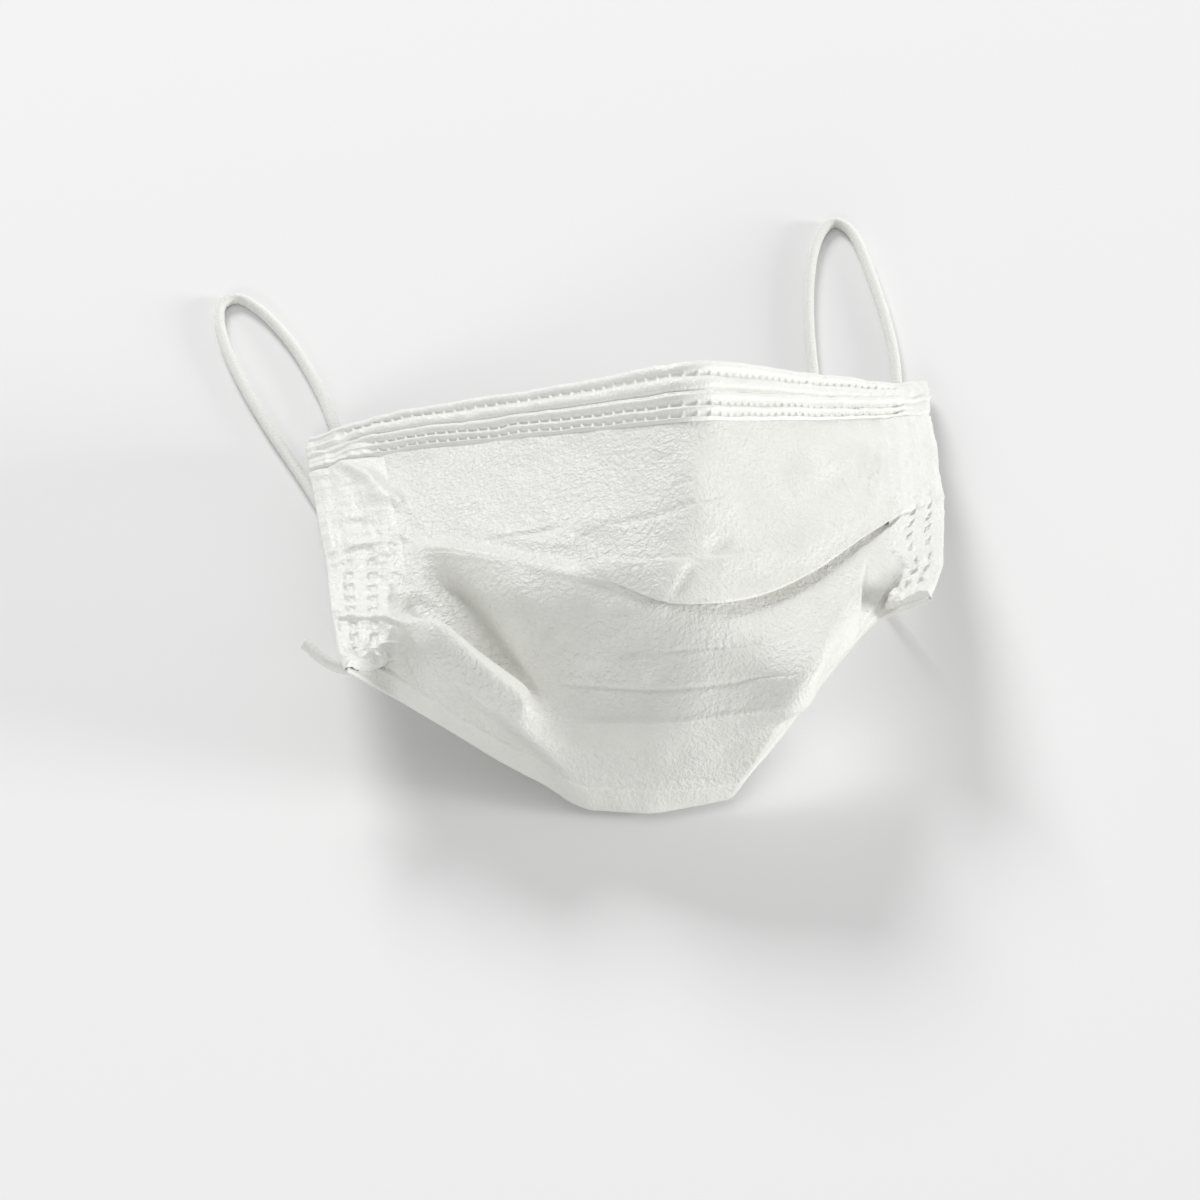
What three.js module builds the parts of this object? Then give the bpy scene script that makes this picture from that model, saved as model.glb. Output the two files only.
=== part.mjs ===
// A three-layer pleated face mask, lying on its inside, with its nose edge away and its chin edge near.
// Millimetres, +Z up. The table is z = 0, and the origin is under the middle of the cloth.

import * as THREE from "three";

// Cloth
const CLOTH = 1.4; // wall of the three plies together
const GAP = 0.45; // clearance between pieces that lie on each other
const LAID = 2.6; // an edge that hangs less than this above the table is pressed flat on it
const NOSE_PANEL = 51; // cloth from the nose edge down to the first fold
const CHIN_PANEL = 11; // cloth from the middle of the chin panel down to the chin edge
const TUCK_REACH = 0.14; // share of the way to the next line in which the cloth drops in under a fold's lip

// Hems, wire and welds
const HEM_WALL = 1;
const NOSE_HEM = 13; // outside height of the nose hem
const NOSE_HEM_TURN = 4; // how far the nose hem turns in over the inside
const CHIN_HEM = 4.5; // outside height of the chin hem
const CHIN_HEM_TURN = 3;
const CHIN_HEM_ENDS = 1 + 1 / 7; // stations in from each side edge where the chin hem stops
const WIRE_WIDTH = 3.5;
const WIRE_THICKNESS = 0.6;
const WIRE_PLACE = 7.5; // middle of the wire, down from the nose edge
const WIRE_ENDS = [0.5, 5 - 1 / 7]; // stations where the wire starts and stops
const POCKET_SLOPE = 1.2; // width of the step where the hem rises over the wire
const STRIP_WALL = 1.2; // the pleats' folded plies, welded flat at each side
const STRIP_SHORT = 0.45; // share of a line's spacing by which the strips stop above the chin panel's middle
const WELD_WALL = 1.2; // the ear loops' ends, pressed flat on the inside
const WELD_GAP = 0.75; // from the panel's inside, which is hollow there
const TURN_ACROSS = 0.1; // stations on each side of a place over which its outward direction is taken
const TURN_DOWN = 0.2; // and lines above and below it
const CORD = 2; // ear loop diameter
const CORD_SIDES = 8;
const CORD_STEP = 2.5 * CORD;

// The mask is drawn as lines that run across it, one for each fold. Each line passes the same seven stations.
const STATIONS = [
  "left_edge", "left_strip", "left_corner", "middle", "right_corner", "right_strip", "right_edge",
];
const RIGHT_EDGE = STATIONS.length - 1;

// bend: how softly the line turns at its stations, 0 sharp to 0.5 round.
// crease: how softly the cloth turns over the line, 0 sharp to 0.5 round.
// tuck: how deep the cloth goes in under the line's lip, at each station.
const FOLDS = [
  {
    name: "nose_edge", bend: 0.4, crease: 0.5,
    x: [-58, -46, -11.5, 9.5, 24.5, 48.5, 58],
    y: [60.5, 54, 32.5, 18.5, 35, 56, 64.5],
    z: [1, 11, 33, 48.5, 31.5, 9, 1],
  },
  {
    name: "fold_1", bend: 0.5, crease: 0.08, tuck: [0.5, 0.5, 0.5, 2.5, 2.5, 1.5, 0.5],
    x: [-56.5, -43.5, -16.5, 2.5, 21.5, 43, 53.5],
    y: [13.5, 5, -20.5, -31.5, -19.5, 7.5, 17],
    z: [12, 19.5, 33, 35.5, 28, 19.5, 13.5],
  },
  {
    name: "band_hollow", bend: 0.2, crease: 0.45,
    x: [-56.5, -44.3, -24.8, 1.5, 21.4, 38.7, 51.5],
    y: [2.5, -3, -29.1, -35.2, -39, -5, 6],
    z: [15, 19.2, 18.7, 28.1, 27.7, 21.2, 16],
  },
  {
    name: "fold_2", bend: 0.2, crease: 0.08, tuck: [0.5, 1, 0.5, 0.5, 0.5, 0.5, 0.5],
    x: [-56.5, -45.5, -21.4, -2.3, 17.9, 42.1, 49.5],
    y: [-8, -17, -35.3, -42.6, -43.3, -7.9, -5],
    z: [18, 25.5, 15.8, 20.6, 23, 19.8, 18.5],
  },
  {
    name: "chin_middle", bend: 0.2, crease: 0.5,
    x: [-56, -46.5, -19.5, -4.2, 14, 38.8, 45],
    y: [-23.5, -21.5, -38.4, -41.2, -43.2, -12.6, -19],
    z: [22.5, 20.5, 9.3, 8.9, 13.2, 17.8, 24.5],
  },
  {
    name: "chin_edge", bend: 0.2, crease: 0.5,
    x: [-55.5, -46.5, -17.5, -5, 8.5, 36.5, 44.5],
    y: [-26.5, -24, -40.5, -43, -41, -13.5, -21],
    z: [23.5, 13, 0.5, 0.5, 0.5, 14, 25.5],
  },
];

// Soft dents and swellings of the cloth. across counts stations, down counts lines, and lift is in mm.
const DENTS = [
  { name: "nose_ridge", across: 3, down: 0.5, reach_across: 0.25, reach_down: 0.35, lift: 1.5 },
  { name: "dent_below_nose", across: 3.1, down: 0.82, reach_across: 0.35, reach_down: 0.08, lift: -1.2 },
  { name: "puff_beside_nose", across: 2.5, down: 0.85, reach_across: 0.35, reach_down: 0.08, lift: 1.2 },
  { name: "left_corner_puff", across: 0.9, down: 0.3, reach_across: 0.3, reach_down: 0.15, lift: 1 },
  { name: "right_corner_dent", across: 5.2, down: 0.3, reach_across: 0.25, reach_down: 0.12, lift: -1.2 },
];

// Where the ear loops' ends are welded inside the corners: the station, and the stretch down the mask, in lines
const WELD_REACH = 0.22;
const WELDS = [
  { name: "weld_top_left", across: 0.5, from: 0.31, to: 0.42 },
  { name: "weld_top_right", across: 5.5, from: 0.31, to: 0.42 },
  { name: "weld_bottom_left", across: 0.5, from: 3.12, to: 3.5 },
  { name: "weld_bottom_right", across: 5.5, from: 3.12, to: 3.5 },
];

// Ear loops lie on the table beyond the nose edge. Each runs from its top weld, out under the nose hem, round its
// end and back under the mask, and rises to its bottom weld.
const CORD_ROUTES = {
  ear_loop_left: [
    [-50.2, 32.7, 7.6], [-50.4, 37.9, 4.6], [-50.9, 43.9, 2], [-51.7, 49.9, 1.1], [-52.6, 56.4, 1.1],
    [-53.8, 62.9, 1.1], [-55.6, 69.9, 1.1], [-57.9, 77.4, 1.1], [-60.8, 84.4, 1.1], [-64.3, 90.7, 1.1],
    [-68, 94.5, 1.1], [-71.2, 93.1, 1.1], [-72, 88.4, 1.1], [-71.5, 82.4, 1.1], [-70.1, 74.9, 1.1],
    [-67.7, 65.7, 1.1], [-65.4, 58.4, 1.1], [-63.2, 51.9, 1.1], [-60.8, 45.4, 1.1], [-58, 37.4, 1.1],
    [-55, 27.9, 1.1], [-52.3, 16.9, 1.1], [-50.3, 5.9, 1.1], [-49.2, -4.1, 1.4], [-48.8, -10.6, 4],
    [-48.8, -15.1, 8.8], [-49.1, -19.1, 14.4], [-49.6, -23.3, 19.2],
  ],
  ear_loop_right: [
    [50.2, 35.7, 7.2], [50.9, 40.9, 4.2], [51.9, 46.9, 1.8], [52.9, 52.4, 1.1], [53.7, 58.9, 1.1],
    [54.2, 66.4, 1.1], [54.1, 76.9, 1.1], [53.5, 86.9, 1.1], [52.6, 96.9, 1.1], [51.2, 103.5, 1.1],
    [48.4, 106.1, 1.1], [45.3, 102.5, 1.1], [42.7, 94.9, 1.1], [40.7, 84.9, 1.1], [39.3, 73.9, 1.1],
    [38.3, 60.9, 1.1], [37.6, 49.9, 1.1], [37.4, 38.9, 1.1], [37.8, 26.9, 1.1], [38.9, 14.9, 1.1],
    [40.4, 4.4, 1.25], [41.9, -4.6, 2.6], [42.9, -9.6, 6.4], [43.6, -13.6, 11.6], [44, -16.5, 15.6],
    [44.15, -17.9, 17.6],
  ],
  loop_tail_left: [
    [-52.4, -29.5, 19.2], [-55.2, -31.7, 19.6], [-58.4, -30.5, 20.3], [-62, -26.4, 21.2],
  ],
};

// Grid of the cloth: steps between neighbouring stations, and between neighbouring lines
const STEPS_ACROSS = [2, 7, 6, 6, 7, 2];
const STEPS_DOWN = 6;
const LEAST_STEP = 0.05; // share of a spacing under which a step is left out

// How far the cloth is moved to lie on the table with the origin under its middle
const LYING_AT = new THREE.Vector3(0.15, -10.8, 1.3);

const LINES = FOLDS.map((fold) => ({
  ...fold,
  points: fold.x.map((x, i) => new THREE.Vector3(x, fold.y[i], fold.z[i])),
}));
const lineNumber = (name) => LINES.findIndex((line) => line.name === name);
const CHIN_EDGE = lineNumber("chin_edge");
const STRIP_END = lineNumber("chin_middle") - STRIP_SHORT;

// Shares of the points of a row at a place along it: straight between the points, and a parabola round each one.
function shares(place, count, round) {
  const near = Math.round(place);
  if (near > 0 && near < count - 1 && Math.abs(place - near) < round) {
    const turned = (place - near + round) / (2 * round);
    const before = round * (1 - turned) ** 2;
    const after = round * turned ** 2;
    return [[near - 1, before], [near, 1 - before - after], [near + 1, after]];
  }
  const first = Math.min(Math.max(Math.floor(place), 0), count - 2);
  return [[first, 1 - (place - first)], [first + 1, place - first]];
}

function pointOnLine(line, across) {
  const point = new THREE.Vector3();
  for (const [i, share] of shares(across, STATIONS.length, line.bend)) point.addScaledVector(line.points[i], share);
  return point;
}

function plainPoint(across, down) {
  const near = Math.min(Math.max(Math.round(down), 0), LINES.length - 1);
  const point = new THREE.Vector3();
  for (const [i, share] of shares(down, LINES.length, LINES[near].crease)) {
    point.addScaledVector(pointOnLine(LINES[i], across), share);
  }
  return point;
}

// The direction out of the mask, taken over a stretch of cloth so that it turns slowly over the folds.
function outward(across, down) {
  const right = plainPoint(across + TURN_ACROSS, down);
  const left = plainPoint(across - TURN_ACROSS, down);
  const lower = plainPoint(across, down + TURN_DOWN);
  const upper = plainPoint(across, down - TURN_DOWN);
  return lower.sub(upper).cross(right.sub(left)).normalize();
}

// Below a fold's lip the cloth drops in within a short way, and comes out again by the next line.
function tuckDepth(across, down) {
  const above = Math.min(Math.max(Math.floor(down), 0), CHIN_EDGE);
  const line = LINES[above];
  if (!line.tuck) return 0;
  const depth = shares(across, STATIONS.length, line.bend).reduce((sum, [i, share]) => sum + share * line.tuck[i], 0);
  const past = down - above;
  return depth * Math.min(past / TUCK_REACH, 1) * (1 - past);
}

function dentLift(across, down) {
  let lift = 0;
  for (const dent of DENTS) {
    const aside = (across - dent.across) / dent.reach_across;
    const below = (down - dent.down) / dent.reach_down;
    lift += dent.lift * Math.exp(-(aside ** 2) - below ** 2);
  }
  return lift;
}

// A place on the mask's outside, or lifted off it by a height in mm. One that would be under the table, or less than
// laid above it, is pressed down on the table.
function onMask(across, down, lift, laid = 0) {
  const height = lift + dentLift(across, down) - tuckDepth(across, down);
  const place = plainPoint(across, down).addScaledVector(outward(across, down), height);
  if (place.z + LYING_AT.z < laid) place.z = -LYING_AT.z;
  return place;
}

// The stations of the grid between two places across the mask.
function stopsAcross(from, to) {
  const all = STEPS_ACROSS.flatMap((steps, i) => Array.from({ length: steps }, (_, k) => i + k / steps));
  const inside = all.filter((stop) => stop > from + LEAST_STEP && stop < to - LEAST_STEP);
  return [from, ...inside, to];
}

const belowNoseEdge = (length) => length / NOSE_PANEL;
const aboveChinEdge = (length) => length / CHIN_PANEL;

// Pieces that lie on each other are cut at the same places, so that their faces stay parallel.
const POCKET_TOP = WIRE_PLACE - WIRE_WIDTH / 2 - GAP;
const POCKET_FOOT = WIRE_PLACE + WIRE_WIDTH / 2 + GAP;
const NOSE_HEM_CUTS = [
  NOSE_HEM_TURN, POCKET_TOP - POCKET_SLOPE, POCKET_TOP, POCKET_FOOT, POCKET_FOOT + POCKET_SLOPE, NOSE_HEM,
].map(belowNoseEdge);
const CHIN_HEM_CUTS = [CHIN_HEM, CHIN_HEM_TURN].map((length) => CHIN_EDGE - aboveChinEdge(length));

// The grid's places down the mask, close together at the hems and below the lips of the folds.
function stopsDown() {
  const stops = LINES.slice(0, CHIN_EDGE).flatMap((line, i) => {
    const even = Array.from({ length: STEPS_DOWN }, (_, k) => i + k / STEPS_DOWN);
    return line.tuck ? [...even, i + TUCK_REACH] : even;
  });
  const cuts = [...NOSE_HEM_CUTS, ...CHIN_HEM_CUTS];
  const clear = stops.filter((stop) => cuts.every((cut) => Math.abs(cut - stop) > LEAST_STEP) && stop !== 0);
  return [0, ...clear, ...cuts, CHIN_EDGE].sort((a, b) => a - b);
}

// A closed body carried across the mask. At each stop its section is a ribbon: pairs of places on its two faces,
// each as [down, lift] or [down, lift, laid].
function carriedAcross(stops, ribbonAt) {
  const positions = [];
  let pairs = 0;
  for (const across of stops) {
    const ribbon = ribbonAt(across);
    pairs = ribbon.length;
    for (const [outer] of ribbon) positions.push(...onMask(across, ...outer).toArray());
    for (const [, inner] of ribbon) positions.push(...onMask(across, ...inner).toArray());
  }
  const ring = 2 * pairs;
  const outerAt = (i, k) => i * ring + k;
  const innerAt = (i, k) => i * ring + pairs + k;
  const index = [];
  const quad = (a, b, c, d) => index.push(a, b, c, a, c, d);
  for (let i = 0; i < stops.length - 1; i += 1) {
    for (let k = 0; k < pairs - 1; k += 1) {
      quad(outerAt(i, k), outerAt(i, k + 1), outerAt(i + 1, k + 1), outerAt(i + 1, k));
      quad(innerAt(i, k), innerAt(i + 1, k), innerAt(i + 1, k + 1), innerAt(i, k + 1));
    }
    quad(outerAt(i, 0), outerAt(i + 1, 0), innerAt(i + 1, 0), innerAt(i, 0));
    quad(outerAt(i, pairs - 1), innerAt(i, pairs - 1), innerAt(i + 1, pairs - 1), outerAt(i + 1, pairs - 1));
  }
  const last = stops.length - 1;
  for (let k = 0; k < pairs - 1; k += 1) {
    quad(outerAt(0, k), innerAt(0, k), innerAt(0, k + 1), outerAt(0, k + 1));
    quad(outerAt(last, k), outerAt(last, k + 1), innerAt(last, k + 1), innerAt(last, k));
  }
  const geometry = new THREE.BufferGeometry();
  geometry.setAttribute("position", new THREE.Float32BufferAttribute(positions, 3));
  geometry.setIndex(index);
  geometry.computeVertexNormals();
  return geometry;
}

function panelGeometry() {
  const stops = stopsDown();
  return carriedAcross(stopsAcross(0, RIGHT_EDGE), () => stops.map((down) => [[down, 0], [down, -CLOTH]]));
}

// The hem's cloth comes up the inside, round the nose edge, and down the outside over a pocket for the wire.
function noseHemGeometry() {
  const overWire = GAP + WIRE_THICKNESS + GAP;
  const faces = [
    { down: POCKET_TOP - POCKET_SLOPE, lift: GAP },
    { down: POCKET_TOP, lift: overWire },
    { down: POCKET_FOOT, lift: overWire },
    { down: POCKET_FOOT + POCKET_SLOPE, lift: GAP },
    { down: NOSE_HEM, lift: GAP },
  ];
  const outside = faces.map(({ down, lift }) => [[belowNoseEdge(down), lift + HEM_WALL], [belowNoseEdge(down), lift]]);
  const turn = turnedRound(0, -belowNoseEdge(1), NOSE_HEM_TURN).reverse();
  return carriedAcross(stopsAcross(0, RIGHT_EDGE), () => [...turn, ...outside]);
}

// Pairs of places that carry a hem's cloth round an edge of the panel and in over its inside. beyond is the step
// in down that goes 1 mm past the edge.
function turnedRound(edge, beyond, turn) {
  const near = edge + beyond * GAP;
  const far = edge + beyond * (GAP + HEM_WALL);
  const turnedIn = edge - beyond * turn;
  const inside = -CLOTH - GAP;
  return [
    [[far, GAP + HEM_WALL, LAID], [near, GAP]],
    [[far, inside - HEM_WALL, LAID], [near, inside]],
    [[turnedIn, inside - HEM_WALL], [turnedIn, inside]],
  ];
}

function chinHemGeometry() {
  const foot = CHIN_EDGE - aboveChinEdge(CHIN_HEM);
  return carriedAcross(stopsAcross(CHIN_HEM_ENDS, RIGHT_EDGE - CHIN_HEM_ENDS), () => [
    [[foot, GAP + HEM_WALL], [foot, GAP]],
    ...turnedRound(CHIN_EDGE, aboveChinEdge(1), CHIN_HEM_TURN),
  ]);
}

function wireGeometry() {
  const top = belowNoseEdge(WIRE_PLACE - WIRE_WIDTH / 2);
  const foot = belowNoseEdge(WIRE_PLACE + WIRE_WIDTH / 2);
  const ribbon = [top, foot].map((down) => [[down, GAP + WIRE_THICKNESS], [down, GAP]]);
  return carriedAcross(stopsAcross(...WIRE_ENDS), () => ribbon);
}

// A side strip lies on the panel's outside, from under the nose hem down to the middle of the chin panel, which
// comes out from under it.
function stripGeometry(from, to) {
  const stops = stopsDown().filter((down) => down > belowNoseEdge(NOSE_HEM) && down <= STRIP_END);
  const ribbon = [belowNoseEdge(NOSE_HEM + GAP), ...stops].map((down) => [[down, GAP + STRIP_WALL], [down, GAP]]);
  return carriedAcross(stopsAcross(from, to), () => ribbon);
}

// The end of an ear loop, pressed flat and welded to the inside of a corner.
function weldGeometry({ across, from, to }) {
  const inside = -CLOTH - WELD_GAP;
  const ribbon = [from, to].map((down) => [[down, inside], [down, inside - WELD_WALL]]);
  return carriedAcross([across - WELD_REACH, across, across + WELD_REACH], () => ribbon);
}

// A round cord along a smooth curve through the points of its route.
function cordGeometry(route) {
  const curve = new THREE.CatmullRomCurve3(route.map((point) => new THREE.Vector3(...point)));
  const section = new THREE.Shape();
  for (let i = 0; i < CORD_SIDES; i += 1) {
    const angle = (2 * Math.PI * i) / CORD_SIDES;
    section[i === 0 ? "moveTo" : "lineTo"]((CORD / 2) * Math.cos(angle), (CORD / 2) * Math.sin(angle));
  }
  section.closePath();
  const steps = Math.round(curve.getLength() / CORD_STEP);
  return new THREE.ExtrudeGeometry(section, { extrudePath: curve, steps, bevelEnabled: false });
}

const materials = {
  cloth: new THREE.MeshStandardMaterial({ color: "#F7F7F3", roughness: 0.75, metalness: 0 }),
  wire: new THREE.MeshStandardMaterial({ color: "#E4E4E0", roughness: 0.5, metalness: 0 }),
  elastic: new THREE.MeshStandardMaterial({ color: "#F4F4F0", roughness: 0.8, metalness: 0 }),
};

function piece(name, geometry, material) {
  const mesh = new THREE.Mesh(geometry, material);
  mesh.name = name;
  return mesh;
}

const cloth = new THREE.Group();
cloth.position.copy(LYING_AT);
cloth.add(
  piece("mask_panel", panelGeometry(), materials.cloth),
  piece("nose_hem", noseHemGeometry(), materials.cloth),
  piece("chin_hem", chinHemGeometry(), materials.cloth),
  piece("side_strip_left", stripGeometry(0, 1), materials.cloth),
  piece("side_strip_right", stripGeometry(RIGHT_EDGE - 1, RIGHT_EDGE), materials.cloth),
  piece("nose_wire", wireGeometry(), materials.wire),
);

for (const weld of WELDS) cloth.add(piece(weld.name, weldGeometry(weld), materials.elastic));

const mask = new THREE.Group();
mask.add(cloth);
for (const [name, route] of Object.entries(CORD_ROUTES)) {
  mask.add(piece(name, cordGeometry(route), materials.elastic));
}

export default mask;
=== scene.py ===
"""A three-layer pleated face mask, lying on its inside with its ear loops laid out beyond its nose edge.

Metres, +Z up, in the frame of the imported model. The cloth is a surface of two places: "across" counts
seven stations from the left edge to the right one, and "down" counts six lines from the nose edge to the
chin edge.
"""

import math

import bpy
import numpy as np
from bpy.props import FloatProperty, FloatVectorProperty, IntProperty, PointerProperty
from mathutils import Matrix, Vector


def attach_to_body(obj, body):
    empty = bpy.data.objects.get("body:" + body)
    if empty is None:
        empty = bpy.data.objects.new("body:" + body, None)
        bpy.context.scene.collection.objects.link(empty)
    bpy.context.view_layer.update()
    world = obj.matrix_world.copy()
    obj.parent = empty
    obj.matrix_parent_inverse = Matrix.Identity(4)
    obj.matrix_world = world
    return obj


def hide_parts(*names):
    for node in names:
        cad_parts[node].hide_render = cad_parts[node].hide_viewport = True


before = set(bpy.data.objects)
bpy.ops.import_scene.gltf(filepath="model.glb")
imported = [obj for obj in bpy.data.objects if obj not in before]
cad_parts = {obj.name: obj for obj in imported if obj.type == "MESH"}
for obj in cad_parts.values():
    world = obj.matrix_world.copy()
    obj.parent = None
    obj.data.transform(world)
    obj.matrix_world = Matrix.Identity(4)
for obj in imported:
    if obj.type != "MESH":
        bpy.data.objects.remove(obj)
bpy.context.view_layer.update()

bl_info = {
    "name": "Three-layer face mask",
    "version": (1, 0, 0),
    "blender": (4, 5, 0),
    "location": "View3D > Sidebar > Face mask",
    "description": "Builds a pleated three-layer face mask with its hems, welds and ear loops",
    "category": "Object",
}

MM = 0.001
BODY = "root"

# --------------------------------------------------------------------------------------------------
# Measures of the mask, in millimetres
# --------------------------------------------------------------------------------------------------

# One row for each line across the mask, with its points at the seven stations: left edge, left strip, left
# corner, middle, right corner, right strip, right edge.
# bend: how softly the line turns at a station, and right_bend at the right corner.
# crease: how softly the cloth turns over the line.
# tuck: depth of the cloth just below the line's lip. lip: radius of the lip. overlap: cloth hidden behind.
# opens: the stations between which the pleat opens. Left of them its edge is a soft ridge.
LINES = (
    dict(name="nose_edge", bend=0.4, crease=0.5,
         x=(-58, -46, -11.5, 9.5, 24.5, 48.5, 58),
         y=(60.5, 54, 32.5, 18.5, 35, 56, 64.5),
         z=(1, 11, 33, 48.5, 31.5, 9, 1)),
    dict(name="fold_1", bend=0.5, crease=0.08, opens=(2.2, 2.8),
         x=(-56.5, -43.5, -16.5, 2.5, 21.5, 43, 53.5),
         y=(13.5, 5, -20.5, -31.5, -19.5, 7.5, 17),
         z=(12, 19.5, 33, 35.5, 28, 19.5, 13.5),
         tuck=(0.1, 0.1, 0.1, 1.6, 1.8, 1.1, 0.3),
         lip=(0.03, 0.03, 0.03, 0.35, 0.45, 0.25, 0.08),
         overlap=(0.2, 0.2, 0.2, 1.5, 3, 1.2, 0.4)),
    dict(name="band_hollow", bend=0.2, right_bend=0.05, crease=0.45,
         x=(-56.5, -44.3, -24.8, 1.5, 21.4, 38.7, 51.5),
         y=(2.5, -3, -29.1, -35.2, -39, -5, 6),
         z=(15, 19.2, 18.7, 28.1, 27.7, 21.2, 16)),
    dict(name="fold_2", bend=0.2, right_bend=0.05, crease=0.06,
         x=(-56.5, -45.5, -21.4, -2.3, 17.9, 42.1, 49.5),
         y=(-8, -17, -35.3, -42.6, -43.3, -7.9, -5),
         z=(18, 25.5, 15.8, 20.6, 23, 19.8, 18.5)),
    dict(name="chin_middle", bend=0.2, right_bend=0.05, crease=0.5,
         x=(-56, -46.5, -19.5, -4.2, 14, 38.8, 45),
         y=(-23.5, -21.5, -38.4, -41.2, -43.2, -12.6, -19),
         z=(22.5, 20.5, 9.3, 8.9, 13.2, 17.8, 24.5)),
    dict(name="chin_edge", bend=0.2, right_bend=0.05, crease=0.5,
         x=(-55.5, -46.5, -17.5, -5, 8.5, 36.5, 44.5),
         y=(-26.5, -24, -40.5, -43, -41, -13.5, -21),
         z=(23.5, 13, 0.5, 0.5, 0.5, 14, 25.5)),
)
LYING_AT = (0.15, -10.8, 1.3)       # the frame's place of the point that the lines are measured from
RIGHT_CORNER = 4                    # the station that right_bend belongs to
ROW_SOFTNESS = 0.4                  # how softly tuck, lip and overlap change at a station

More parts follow.
